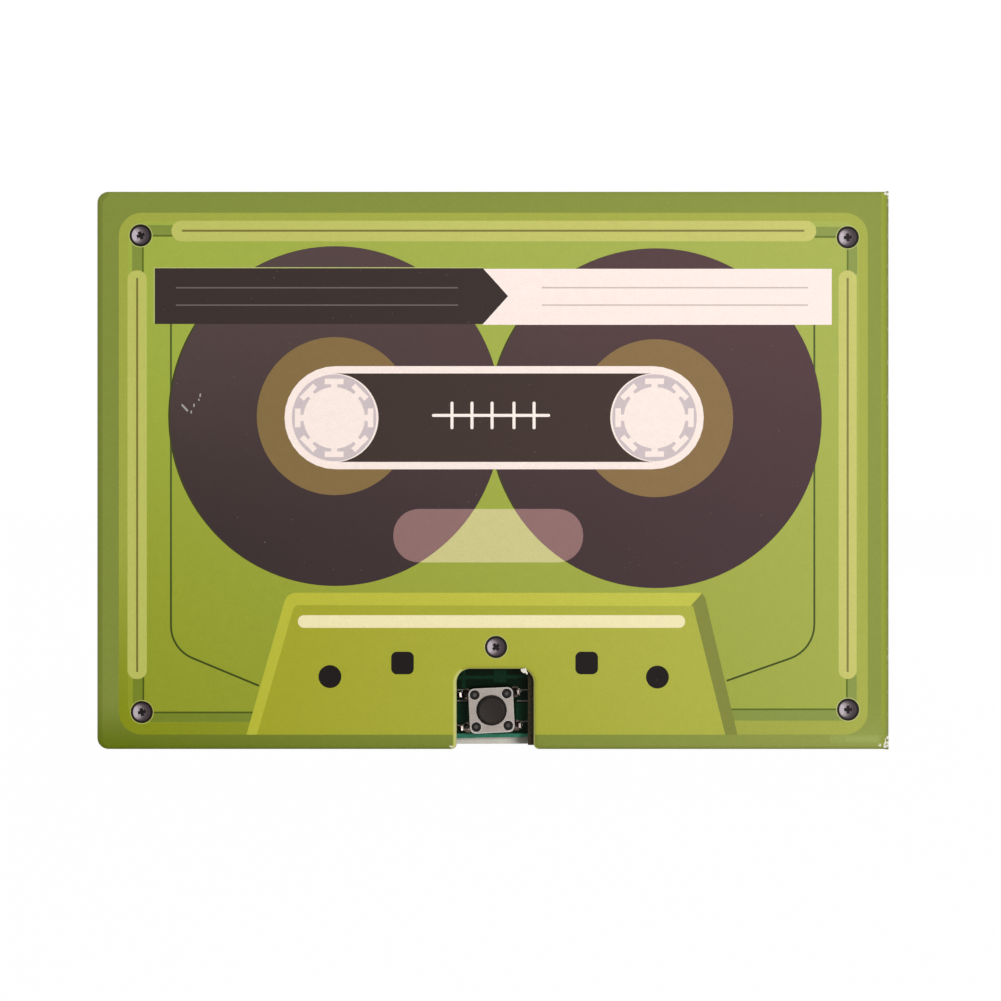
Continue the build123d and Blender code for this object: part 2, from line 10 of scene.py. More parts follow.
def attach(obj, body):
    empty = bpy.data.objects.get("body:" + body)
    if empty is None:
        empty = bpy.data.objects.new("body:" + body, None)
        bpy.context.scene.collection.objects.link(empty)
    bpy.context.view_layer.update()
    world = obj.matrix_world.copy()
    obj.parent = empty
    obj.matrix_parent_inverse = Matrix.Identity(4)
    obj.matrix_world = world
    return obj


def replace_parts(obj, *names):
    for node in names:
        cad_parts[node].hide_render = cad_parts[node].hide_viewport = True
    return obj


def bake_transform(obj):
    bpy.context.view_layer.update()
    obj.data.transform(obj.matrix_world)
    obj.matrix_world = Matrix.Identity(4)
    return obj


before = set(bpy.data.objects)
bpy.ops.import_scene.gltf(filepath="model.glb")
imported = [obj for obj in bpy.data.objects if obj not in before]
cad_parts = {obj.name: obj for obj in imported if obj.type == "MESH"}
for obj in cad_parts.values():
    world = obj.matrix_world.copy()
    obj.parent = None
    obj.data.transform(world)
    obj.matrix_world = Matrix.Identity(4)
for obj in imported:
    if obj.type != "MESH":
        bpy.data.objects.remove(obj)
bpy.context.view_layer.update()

# A recordable greeting card, closed and standing up. The printed front faces -Y.
# Flat drawings are in millimetres: x to the right, z up, both on the card's face.

mm = 0.001

card = {
    "width": 105.0, "height": 74.0, "thick": 8.4, "cornerRadius": 1.5,
    "rollRadius": 0.6, "rollDepth": 0.75, "rollSteps": 6, "paperThick": 0.25,
    "notchLeft": -4.8, "notchRight": 5.44, "notchTop": 10.66,
    "notchRadius": 1.8, "mouthRadius": 0.7, "foldX": 52.2,
}
faceY = -card["thick"] / 2


# Small helpers
def linearColour(hexText):
    text = hexText.lstrip("#")
    channels = [int(text[i:i + 2], 16) / 255 for i in (0, 2, 4)]
    return [c / 12.92 if c <= 0.04045 else ((c + 0.055) / 1.055) ** 2.4 for c in channels] + [1.0]


def addNode(tree, kind, inputs=None, **settings):
    # each input is a fixed value or the output of another node
    node = tree.nodes.new(kind)
    for name, value in settings.items():
        setattr(node, name, value)
    for socket, value in (inputs or {}).items():
        if isinstance(value, bpy.types.NodeSocket):
            tree.links.new(value, node.inputs[socket])
        else:
            node.inputs[socket].default_value = value
    return node


def perMm(size):
    return 1 / (size * mm)     # a texture scale whose features are about size millimetres wide


def newMaterial(name, settings=None):
    material = bpy.data.materials.new(name)
    material.use_nodes = True
    tree = material.node_tree
    tree.nodes.clear()
    shader = addNode(tree, "ShaderNodeBsdfPrincipled", settings)
    addNode(tree, "ShaderNodeOutputMaterial", {"Surface": shader.outputs[0]})
    place = addNode(tree, "ShaderNodeTexCoord").outputs["Object"]
    return material, tree, shader, place


def noiseTone(tree, place, size, low, high, detail=3.0, stretch=None):
    # soft noise with features about size millimetres wide, spread over low..high
    if stretch:
        place = addNode(tree, "ShaderNodeMapping", {"Vector": place, "Scale": stretch}).outputs[0]
    noise = addNode(tree, "ShaderNodeTexNoise", {"Vector": place, "Scale": perMm(size), "Detail": detail})
    return addNode(tree, "ShaderNodeMapRange", {"Value": noise.outputs["Fac"], "From Min": 0.3, "From Max": 0.7,
            "To Min": low, "To Max": high}).outputs[0]


def toned(tree, colour, factor):
    grey = addNode(tree, "ShaderNodeCombineColor", {0: factor, 1: factor, 2: factor}).outputs[0]
    return addNode(tree, "ShaderNodeMix", {0: 1.0, 6: colour, 7: grey}, data_type="RGBA",
            blend_type="MULTIPLY").outputs[2]


def specked(tree, place, colour, speckColour, size, level, most, detail=1.0, fade=0.05):
    # specks of another colour, about size millimetres wide, where the noise rises above level
    noise = addNode(tree, "ShaderNodeTexNoise", {"Vector": place, "Scale": perMm(size), "Detail": detail})
    amount = addNode(tree, "ShaderNodeMapRange", {"Value": noise.outputs["Fac"], "From Min": level,
            "From Max": level + fade, "To Max": most})
    return addNode(tree, "ShaderNodeMix", {0: amount.outputs[0], 6: colour, 7: linearColour(speckColour)},
            data_type="RGBA").outputs[2]


def finishSurface(tree, shader, colour, height, depthMm, strength):
    # the colour, and a relief that follows the height pattern
    tree.links.new(colour, shader.inputs["Base Color"])
    relief = addNode(tree, "ShaderNodeBump", {"Height": height, "Strength": strength, "Distance": depthMm * mm})
    tree.links.new(relief.outputs[0], shader.inputs["Normal"])


def makeFinish(name, colour, grain, bump, roughness, specks=None, strength=0.6, metallic=0.0, ior=1.5,
        specular=0.25, sheen=0.0, wander=0.0):
    # grain: size in mm, darkest, lightest, then its stretch in x, y and z; bump: size and depth in mm;
    # specks: colour, size in mm, level; wander: how far the roughness strays. A metal keeps the default IOR
    settings = {"Roughness": roughness, "Metallic": metallic, "Sheen Weight": sheen}
    if not metallic:
        settings.update({"IOR": ior, "Specular IOR Level": specular})
    material, tree, shader, place = newMaterial(name, settings)
    size, low, high, *stretch = grain
    tone = toned(tree, linearColour(colour), noiseTone(tree, place, size, low, high, 3.0, stretch))
    if specks:
        tone = specked(tree, place, tone, *specks, 0.7)
    if wander:
        strayed = noiseTone(tree, place, 0.3, roughness - wander / 2, roughness + wander)
        tree.links.new(strayed, shader.inputs["Roughness"])
    finishSurface(tree, shader, tone, noiseTone(tree, place, bump[0], 0.0, 1.0), bump[1], strength)
    return material


def addPiece(name, shape, body, materials, smoothAngle=30, closed=True):
    verts, faces, inks = shape
    mesh = bpy.data.meshes.new(name)
    mesh.from_pydata([Vector(v) * mm for v in verts], [], faces)
    for material in materials:
        mesh.materials.append(material)
    mesh.polygons.foreach_set("material_index", inks)
    tidy = bmesh.new()
    tidy.from_mesh(mesh)
    bmesh.ops.delete(tidy, geom=[v for v in tidy.verts if not v.link_faces], context="VERTS")
    if closed:
        bmesh.ops.recalc_face_normals(tidy, faces=tidy.faces)
    tidy.to_mesh(mesh)
    tidy.free()
    mesh.update()
    mesh.shade_smooth()
    mesh.set_sharp_from_angle(angle=math.radians(smoothAngle))
    piece = bpy.data.objects.new(name, mesh)
    bpy.context.scene.collection.objects.link(piece)
    if body:
        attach(piece, body)
    return piece


def soften(piece, width, steps=2, angle=35, ink=-1):
    bevel = piece.modifiers.new("softEdges", "BEVEL")
    bevel.width = width * mm
    bevel.segments = steps
    bevel.limit_method = "ANGLE"
    bevel.angle_limit = math.radians(angle)
    bevel.material = ink


def thicken(piece, thick):
    paper = piece.modifiers.new("paper", "SOLIDIFY")
    paper.thickness = thick * mm
    paper.offset = -1


# Flat shapes, as lists of (x, z) in millimetres
def oval(x, z, across, up=None, count=64):
    up = up or across
    turn = 2 * math.pi / count
    return [(x + across * math.cos(i * turn), z + up * math.sin(i * turn)) for i in range(count)]


def rounded(corners, radii, steps=8):
    # a closed outline with each corner replaced by an arc, unless it is sharp or nearly straight
    points = []
    count = len(corners)
    for i, corner in enumerate(corners):
        radius = radii[i] if isinstance(radii, (list, tuple)) else radii
        here = Vector(corner)
        before = (Vector(corners[i - 1]) - here).normalized()
        after = (Vector(corners[(i + 1) % count]) - here).normalized()
        half = before.angle(after, math.pi) / 2
        if radius < 0.01 or half > 1.55:
            points.append(tuple(here))
            continue
        reach = radius / math.tan(half)
        middle = here + (before + after).normalized() * (radius / math.sin(half))
        start = here + before * reach - middle
        end = here + after * reach - middle
        swing = math.atan2(start.x * end.y - start.y * end.x, start.dot(end))
        for step in range(steps + 1):
            points.append(tuple(middle + Matrix.Rotation(swing * step / steps, 2) @ start))
    return points


def slab(left, right, low, high, radius=0.0):
    return rounded([(left, low), (right, low), (right, high), (left, high)], radius)


def stroke(path, width, roundEnds=True):
    # a line of even width along the path
    points = [Vector(p) for p in path]
    sides = ([], [])
    for i, here in enumerate(points):
        ahead = (points[min(i + 1, len(points) - 1)] - points[max(i - 1, 0)]).normalized()
        normal = Vector((-ahead.y, ahead.x)) * width / 2
        sides[0].append(here + normal)
        sides[1].append(here - normal)
    outline = [tuple(p) for p in sides[1]]
    if roundEnds:
        outline += endCap(points[-1], sides[1][-1])
    outline += [tuple(p) for p in reversed(sides[0])]
    if roundEnds:
        outline += endCap(points[0], sides[0][0])
    return outline


def endCap(middle, start, steps=6):
    arm = start - middle
    return [tuple(middle + Matrix.Rotation(math.pi * i / steps, 2) @ arm) for i in range(1, steps)]


def bentPath(points, radius, steps=8):
    # an open path with rounded corners
    path = [tuple(points[0])]
    for i in range(1, len(points) - 1):
        path += rounded(points[i - 1:i + 2], [0, radius, 0], steps)[1:-1]
    return path + [tuple(points[-1])]


def quarterTurn(radius, steps):
    # how far out and back a rolled edge has come at each step of its bend
    angles = [math.pi / 2 * i / steps for i in range(1, steps + 1)]
    return [(radius * math.sin(angle), radius * (1 - math.cos(angle))) for angle in angles]


def inside(spot, outline):
    x, z = spot
    hit = False
    last = outline[-1]
    for here in outline:
        if (here[1] > z) != (last[1] > z):
            if x < (last[0] - here[0]) * (z - here[1]) / (last[1] - here[1]) + here[0]:
                hit = not hit
        last = here
    return hit


def splitFlat(outline, shapes, holes=()):
    # cuts the outline's area along every shape's edge; each triangle takes the last shape that covers it
    loops = [outline] + list(holes) + [shape for ink, shape in shapes]
    verts, edges = [], []
    for loop in loops:
        first = len(verts)
        verts += [Vector(p) for p in loop]
        edges += [(first + i, first + (i + 1) % len(loop)) for i in range(len(loop))]
    verts, edges, faces = delaunay_2d_cdt(verts, edges, [], 0, 1e-4)[:3]
    boxes = []
    for ink, shape in reversed(shapes):
        xs, zs = [p[0] for p in shape], [p[1] for p in shape]
        boxes.append((min(xs), max(xs), min(zs), max(zs), ink, shape))
    kept, inks = [], []
    for face in faces:
        x, z = sum((verts[i] for i in face), Vector((0, 0))) / len(face)
        if not inside((x, z), outline) or any(inside((x, z), hole) for hole in holes):
            continue
        ink = 0
        for left, right, low, high, number, shape in boxes:
            if left < x < right and low < z < high and inside((x, z), shape):
                ink = number
                break
        kept.append(list(face))
        inks.append(ink)
    return verts, kept, inks


def openEdges(faces):
    # the edges that only one face has, with that face's number
    sides = {}
    for number, face in enumerate(faces):
        for a, b in zip(face, face[1:] + face[:1]):
            if (b, a) in sides:
                del sides[(b, a)]
            else:
                sides[(a, b)] = number
    return sides


# Solids made from flat shapes; spot(u, v, h) gives the place of a point h above its base
def spotOn(x, z, turn, baseY):
    lean = Matrix.Rotation(math.radians(turn), 2)

    def spot(u, v, h):
        flat = lean @ Vector((u, v))
        return (x + flat.x, baseY - h, z + flat.y)
    return spot


def plateShape(spot, outline, low, high, holes=(), shapes=(), wallInk=0):
    flat, faces, inks = splitFlat(outline, shapes, holes)
    count = len(flat)
    verts = [spot(v.x, v.y, h) for h in (high, low) for v in flat]
    lower = [[i + count for i in reversed(face)] for face in faces]
    walls = [[b, a, a + count, b + count] for a, b in openEdges(faces)]
    return verts, faces + lower + walls, inks + inks + [wallInk] * len(walls)


def turnedShape(spot, profile, u=0.0, v=0.0, count=32, inks=None):
    # a profile of (radius, height) spun round the point (u, v)
    verts, faces, marks, rows = [], [], [], []
    for radius, height in profile:
        around = range(count) if radius > 0 else range(1)
        rows.append([len(verts) + i for i in around])
        for i in around:
            angle = 2 * math.pi * i / count
            verts.append(spot(u + radius * math.cos(angle), v + radius * math.sin(angle), height))
    for step, (one, two) in enumerate(zip(rows, rows[1:])):
        for i in range(count):
            ring = [one[i % len(one)], one[(i + 1) % len(one)], two[(i + 1) % len(two)], two[i % len(two)]]
            faces.append(list(dict.fromkeys(ring)))
            marks.append(inks[step] if inks else 0)
    return verts, faces, marks


def barShape(side, middle, half):
    # an outline of (a, b) points drawn out both ways from middle; side(a, b, c) places each point
    count = len(middle)
    verts = [side(a, b, c) for c in half for a, b in middle]
    walls = [[i, (i + 1) % count, (i + 1) % count + count, i + count] for i in range(count)]
    ends = [list(range(count)), list(range(2 * count - 1, count - 1, -1))]
    return verts, walls + ends, [0] * (count + 2)


def joined(parts):
    verts, faces, inks = [], [], []
    for points, sides, marks in parts:
        first = len(verts)
        verts += points
        faces += [[first + i for i in face] for face in sides]
        inks += marks
    return verts, faces, inks


# Camera, lamps and floor
studio = {
    "cameraX": 1.03, "cameraZ": 33.0, "distance": 300.0, "lens": 81.4,
    "skyFront": 0.72, "skyBack": 0.42, "keyPower": 2.25, "keyPlace": (0.25, -0.72, 0.1), "keySize": 0.22,
    "fillPower": 1.5, "fillPlace": (0.42, 0.55, 0.15), "fillSize": 0.4, "lampAim": (0, 0, 0.03),
    "floorReach": 6.0, "floorDrop": 0.00005, "floorGlow": 0.985,
}


def setStudio():
    scene = bpy.context.scene
    scene.view_settings.view_transform = "Standard"
    lens = bpy.data.cameras.new("frontCamera")
    lens.lens = studio["lens"]
    lens.sensor_width = 36
    camera = bpy.data.objects.new("frontCamera", lens)
    camera.location = (studio["cameraX"] * mm, (faceY - studio["distance"]) * mm, studio["cameraZ"] * mm)
    camera.rotation_euler = (math.pi / 2, 0, 0)
    scene.collection.objects.link(camera)
    scene.camera = camera

    for name in ("key", "fill"):
        light = bpy.data.lights.new(f"{name}Lamp", "AREA")
        light.shape = "DISK"
        light.size = studio[f"{name}Size"]
        light.energy = studio[f"{name}Power"]
        lamp = bpy.data.objects.new(f"{name}Lamp", light)
        lamp.location = studio[f"{name}Place"]
        aim = Vector(studio["lampAim"]) - lamp.location
        lamp.rotation_euler = aim.to_track_quat("-Z", "Y").to_euler()
        scene.collection.objects.link(lamp)

    world = bpy.data.worlds.new("paleStudio")
    world.use_nodes = True
    scene.world = world
    tree = world.node_tree
    tree.nodes.clear()
    place = addNode(tree, "ShaderNodeTexCoord").outputs["Generated"]
    part = addNode(tree, "ShaderNodeSeparateXYZ", {0: place}).outputs[1]
    soft = addNode(tree, "ShaderNodeMapRange", {"Value": part, "From Min": -1.0, "From Max": 1.0,
            "To Min": studio["skyFront"], "To Max": studio["skyBack"]})
    light = addNode(tree, "ShaderNodeBackground", {"Color": (1, 1, 1, 1), "Strength": soft.outputs[0]})
    white = addNode(tree, "ShaderNodeBackground", {"Color": (1, 1, 1, 1), "Strength": 1.0})
    both = addNode(tree, "ShaderNodeMixShader", {0: seenByEye(tree), 1: light.outputs[0], 2: white.outputs[0]})
    addNode(tree, "ShaderNodeOutputWorld", {"Surface": both.outputs[0]})
    print("studio set")


def seenByEye(tree):
    # 1 for what the camera sees directly, or in metal and glass
    path = addNode(tree, "ShaderNodeLightPath").outputs
    seen = path["Is Camera Ray"]
    for ray in ("Is Glossy Ray", "Is Transmission Ray"):
        seen = addNode(tree, "ShaderNodeMath", {0: seen, 1: path[ray]}, operation="MAXIMUM").outputs[0]
    return seen


def addFloor():
    # plain white painted board that glows a little to the eye and still takes the shadow
    material = bpy.data.materials.new("whiteFloor")
    material.use_nodes = True
    tree = material.node_tree
    tree.nodes.clear()
    paint = addNode(tree, "ShaderNodeBsdfDiffuse", {"Color": (0.9, 0.9, 0.9, 1)})
    glow = addNode(tree, "ShaderNodeEmission", {"Color": (1, 1, 1, 1), "Strength": 1.0})
    seen = addNode(tree, "ShaderNodeMath", {0: seenByEye(tree), 1: studio["floorGlow"]}, operation="MULTIPLY")
    both = addNode(tree, "ShaderNodeMixShader", {0: seen.outputs[0], 1: paint.outputs[0], 2: glow.outputs[0]})
    addNode(tree, "ShaderNodeOutputMaterial", {"Surface": both.outputs[0]})
    mesh = bpy.data.meshes.new("floor")
    reach = studio["floorReach"]
    corners = [(-reach, -reach, 0), (reach, -reach, 0), (reach, reach, 0), (-reach, reach, 0)]
    mesh.from_pydata(corners, [], [(0, 1, 2, 3)])
    mesh.materials.append(material)
    floor = bpy.data.objects.new("floor", mesh)
    floor.location.z = -studio["floorDrop"]
    bpy.context.scene.collection.objects.link(floor)
    print("floor laid")


# Printed paper: offset ink on smooth card stock under a satin film.
# Its eye: flat even colour, a very fine paper grain, and a broad soft sheen.
# Paper fibres are about 0.02 mm wide, too fine to show, so grain and fibre are drawn ten times as coarse.
printLook = {
    "roughness": 0.5, "ior": 1.46, "specular": 0.14, "mottleMm": 1.4, "mottle": 0.014, "grainMm": 0.17,
    "grain": 0.045, "fibreMm": 0.22, "fibreDepth": 0.004, "dustMm": 0.3, "dustLevel": 0.76,
    "dustMost": 0.3, "dustColour": "#cfc8bc",
}


def fourTones(tree, place, tones, span):
    # one ink, or left and right, or top left, top right, low left, low right; span: their heights in mm. The spread
    # between the tones is partly the print and partly painted light and shade
    colours = [linearColour(tone) for tone in tones]
    if len(colours) == 1:
        return colours[0]
    part = addNode(tree, "ShaderNodeSeparateXYZ", {0: place})
    across = addNode(tree, "ShaderNodeMapRange", {"Value": part.outputs[0], "From Min": -50 * mm,
            "From Max": 50 * mm}).outputs[0]
    rows = [addNode(tree, "ShaderNodeMix", {0: across, 6: colours[i], 7: colours[i + 1]}, data_type="RGBA").outputs[2]
            for i in range(0, len(colours), 2)]
    if len(rows) == 1:
        return rows[0]
    rise = addNode(tree, "ShaderNodeMapRange", {"Value": part.outputs[2], "From Min": span[0] * mm,
            "From Max": span[1] * mm}, interpolation_type="SMOOTHSTEP")
    return addNode(tree, "ShaderNodeMix", {0: rise.outputs[0], 6: rows[1], 7: rows[0]}, data_type="RGBA").outputs[2]


def printMaterial(name):
    look = printLook
    return newMaterial(name, {"Roughness": look["roughness"], "IOR": look["ior"],
            "Specular IOR Level": look["specular"]})


def finishPrint(tree, shader, place, colour):
    look = printLook
    tone = noiseTone(tree, place, look["mottleMm"], 1 - look["mottle"], 1 + look["mottle"])
    grain = noiseTone(tree, place, look["grainMm"], 1 - look["grain"], 1 + look["grain"], 2.0)
    shade = addNode(tree, "ShaderNodeMath", {0: tone, 1: grain}, operation="MULTIPLY").outputs[0]
    colour = specked(tree, place, toned(tree, colour, shade), look["dustColour"], look["dustMm"],
            look["dustLevel"], look["dustMost"])
    fibre = noiseTone(tree, place, look["fibreMm"], 0.0, 1.0, 2.0)
    finishSurface(tree, shader, colour, fibre, look["fibreDepth"], 0.5)


def satinPrint(name):
    material, tree, shader, place = printMaterial(f"{name}Ink")
    finishPrint(tree, shader, place, fourTones(tree, place, inkAndPaintedLightTones[name], inkAndPaintedShadeSpans.get(name)))
    return material


# Inks in sRGB: one tone, or left and right, or top left, top right, low left, low right.
# Where an ink has several, they are partly its print and partly painted light: lighter towards the right,
# darker low on the left. The first one is the ground that shows where no shape lies.
inkAndPaintedLightTones = {
    # the first two are painted shade along the card's outer edge, where it rolls away from the light
    "paintedEdgeShade": ("#6b752b", "#7d8837", "#586405", "#858e45"),
    "edgeSoft": ("#768132", "#848f3b", "#5f6c05", "#8d9649"),
    "frame": ("#808c3a", "#89943f", "#647206", "#949d4d"),
    "crease": ("#8b973a", "#929e3a", "#8b963c", "#909a46"),
    "rim": ("#a0a741", "#a6ac48", "#868f0a", "#a9ae4c"),
    "panel": ("#9fae42", "#a8b253", "#909a22", "#a4ad4b"),
    "band": ("#80903a", "#8b994c", "#768421", "#8a984a"),
    "bandEdge": ("#5c6c1e", "#66772c", "#485706", "#5f7024"),
    "bar": ("#bdbf60", "#c8c66e"), "barLine": ("#7b7434", "#887f44"),
    "reel": ("#514240", "#54393d", "#332827", "#463136"),
    "reelRing": ("#826a3e", "#8c6f49"), "reelEdge": ("#3c3c1c", "#45421f"),
    "outline": ("#fcebe3",), "window": ("#382c29", "#43322c"),
    "hubGrey": ("#cfc0c3",), "hubPale": ("#fcebe3",), "tick": ("#fcefe8",),
    "darkLabel": ("#352927",), "paleLabel": ("#feece5",), "labelGlow": ("#b5bb70", "#b9bd78"),
    "pillOnReel": ("#8b6a68", "#946f6e"), "pillOnPanel": ("#cdc687", "#d0ca8c"),
    "trapezoid": ("#a0a018", "#b4b74c"), "bevelLight": ("#b8b832", "#c8c752"), "bevelDark": ("#82883c",),
    "paleBar": ("#f2e7b6", "#f4e9ba"), "hole": ("#0f0604",),
    "line": ("#4b5a22", "#4c5c29", "#333e04", "#3f4b16"),
    "screwHalo": ("#b6bd6d", "#b9be74", "#b0b45a", "#bcc07c"), "screwRim": ("#140e06",),
    "screwLight": ("#beb2bc",), "screwFace": ("#a0949a",), "screwMid": ("#766b71",),
    "screwShade": ("#534a4f",), "screwDark": ("#40373b",), "screwSlot": ("#140d0c",),
    "rubbed": ("#97a152",), "rubbedPale": ("#9ca65a",), "scuff": ("#a39d9b",),
    # pale rim inks round the notch: partly worn ink, partly a painted highlight
    "wornAndLitEdge": ("#d6d78a", "#c9ca7e"), "wornAndLitSoft": ("#bec163", "#bcbf5c"),
    "ruled": ("#c9b9b0",), "ruledDark": ("#6d605d",),
}
# Heights in mm between which an ink goes from its low tones to its top ones: a painted shade, darker towards the
# bottom
inkAndPaintedShadeSpans = {
    "paintedEdgeShade": (0.0, 7.0), "edgeSoft": (0.0, 7.0), "frame": (0.0, 7.0), "crease": (0.0, 7.0), "rim": (2.0, 32.0),
    "panel": (4.0, 66.0), "reel": (22.0, 66.0), "band": (4.0, 60.0), "bandEdge": (4.0, 60.0),
    "line": (6.0, 40.0), "screwHalo": (15.0, 55.0),
}
inkNumber = {name: number for number, name in enumerate(inkAndPaintedLightTones)}

# The drawing on the front. A box is left, right, low, high and, if it has one, its corner radius.
design = {
    # the first edge shape is painted shade where the card's outer edge rolls away from the light
    "edges": [("edgeSoft", -52.08, 60, 0.16, 73.74, 1.6), ("frame", -51.72, 60, 0.3, 73.52, 1.4),
        # a paler patch by the lower right corner: partly worn paper, partly a painted sheen
        ("rubbed", 44.6, 51.4, 0.85, 1.95, 0.54), ("rubbedPale", 46.8, 51.1, 1.05, 1.7, 0.32),
        # a painted highlight just inside the fold, where the bend catches the light
        ("crease", 51.5, 53, -1, 75)],
    "panel": (-49.56, 49.71, 1.98, 71.14, 3.05), "panelRim": (1.2, 1.6, 1.15),    # sides, low, top
    "bands": [(-46.2, -42.0, 67.98, 69.51, "low"), (-47.8, -46.25, 63.0, 67.4, "right"),    # and the dark side
        (42.4, 46.6, 67.82, 69.28, "low"), (46.92, 48.32, 63.0, 67.2, "left"),
        (-46.0, -31.5, 3.63, 5.03, "high"), (-47.71, -46.19, 5.6, 9.9, "right"),
        (31.5, 46.6, 3.83, 5.44, "high"), (46.82, 48.24, 6.0, 9.9, "left")],
    "bandEdge": 0.24,
    "lines": [([(-42.65, 60), (-42.65, 13.3), (-31.0, 8.45)], 4.6), ([(42.63, 60), (42.63, 13.2), (31.0, 9.1)], 4.8)],
    "lineWidth": 0.26,
    "reels": [(-20.92, 44.19), (21.51, 43.91)], "reelSize": (22.1, 22.52), "reelShift": 0.13,
    "ringSize": (10.35, 10.47),
    "topBar": (-42.59, 42.88, 67.35, 70.08, 1.36), "topBarLine": (-41.2, 41.29, 68.62, 68.9),
    "sideBars": [(-48.41, -45.85), (45.85, 48.24)], "sideBar": (9.34, 63.5, 1.19),    # low, high, radius
    "sideBarLine": (0.14, 10.27, 62.5),    # half width, low, high
    "screws": [(-46.67, 68.14, 20), (47.06, 67.88, 5), (-46.51, 4.96, 12), (47.1, 5.29, 0), (0.44, 13.58, 40)],
    "screwRadius": 1.48, "screwHalo": 0.11, "screwSlot": (0.36, 0.15),
    "screwTones": [("screwShade", 0.17, 0.63, 0.75), ("screwMid", 0.28, 0.51, 0.68),    # shift, width, height
        ("screwFace", 0.37, 0.41, 0.59), ("screwLight", 0.52, 0.24, 0.46)],
    "labels": [("paleLabel", -1.35, 44.93, 56.29, 63.71), ("labelGlow", -44.96, -1.3, 56.5, 63.92)],
    "darkLabel": [(-44.8, 56.39), (-1.29, 56.39), (2.03, 60.09), (-1.29, 63.79), (-44.8, 63.79)],
    "rules": (58.9, 61.2), "ruleHalf": 0.09, "ruleSpans": [("ruled", 6.5, 41.8), ("ruledDark", -42.0, -4.6)],
    "scuffs": [(-41.15, 45.65, -40.48, 44.92, 0.26), (-39.58, 45.75, -39.61, 45.5, 0.2),
        (-39.95, 44.85, -39.97, 44.6, 0.18), (-38.76, 47.1, -38.79, 46.8, 0.2),
        (-38.95, 46.42, -38.94, 46.28, 0.18)],
    "window": (-27.6, 27.98, 37.14, 50.81), "windowLine": 0.97, "windowFlat": 0.02,
    "hubs": [(-21.02, 43.95), (21.45, 43.98)], "hubAnchors": [(3.9, 4.6, 0.42), (4.45, 5.2, 1.25)],
    "tickBar": (-8.05, 7.6, 44.08, 44.48, 0.18), "ticks": (-5.4, -2.75, -0.09, 2.82, 5.48),
    "tick": (42.45, 46.1, 0.18),
    "pill": (-13.17, 11.98, 24.79, 31.88, 3.4),
    "bevels": [("bevelLight", [(-32.65, 1.96), (-27.28, 20.77), (27.6, 20.77), (26.4, 1.96)], [0, 1.6, 0, 0]),
        ("bevelDark", [(30.5, 1.96), (26.3, 19.1), (27.75, 20.72), (28.2, 20.0), (32.44, 1.96)], 0),
        ("trapezoid", [(-31.26, 1.96), (-26.29, 19.15), (26.56, 19.0), (30.81, 1.96)], [0, 0.9, 0, 0])],
    "paleBar": (-25.82, 25.5, 16.12, 17.8, 0.8),
    "roundHoles": [(-21.58, 9.66), (21.83, 9.6)], "roundHole": 1.52,
    "squareHoles": [(-11.96, 11.46), (12.45, 11.46)], "squareHole": (1.5, 0.75),
}


def turnedBox(x, z, turn, left, right, low, high):
    spin = Matrix.Rotation(math.radians(turn), 2)
    spots = [spin @ Vector(corner) for corner in ((left, low), (right, low), (right, high), (left, high))]
    return [(x + p.x, z + p.y) for p in spots]


def hubShapes(x, z):
    # a pale ring, a lilac ring, eight small anchors and a pale disc
    shapes = [("outline", oval(x, z, 5.87)), ("hubGrey", oval(x, z, 5.6, 5.75))]
    for number in range(8):
        for left, right, half in design["hubAnchors"]:
            shapes.append(("hubPale", turnedBox(x, z, 45 * number, left, right, -half, half)))
    return shapes + [("hubPale", oval(x, z, 4.08))]


def screwShapes(x, z, turn):
    # a drawn pan head, lit from the left, with a small cross slot
    size = design["screwRadius"]
    shapes = [("screwHalo", oval(x, z, size + design["screwHalo"], count=32)),
            ("screwRim", oval(x, z, size, count=32)),
            ("screwDark", oval(x - 0.03 * size, z, size * 0.8, count=32))]
    for ink, shift, wide, high in design["screwTones"]:
        shapes.append((ink, oval(x - shift * size, z, size * wide, size * high, 26)))
    long, short = [share * size for share in design["screwSlot"]]
    for a, b in ((long, short), (short, long)):
        shapes.append(("screwSlot", turnedBox(x, z, turn, -a, a, -b, b)))
    return shapes


def bandShapes():
    shapes = []
    width = design["bandEdge"]
    for left, right, low, high, dark in design["bands"]:
        edge = {"low": (left, right, low, low + width), "high": (left, right, high - width, high),
                "left": (left, left + width, low, high), "right": (right - width, right, low, high)}[dark]
        shapes += [("band", slab(left, right, low, high)), ("bandEdge", slab(*edge))]
    return shapes


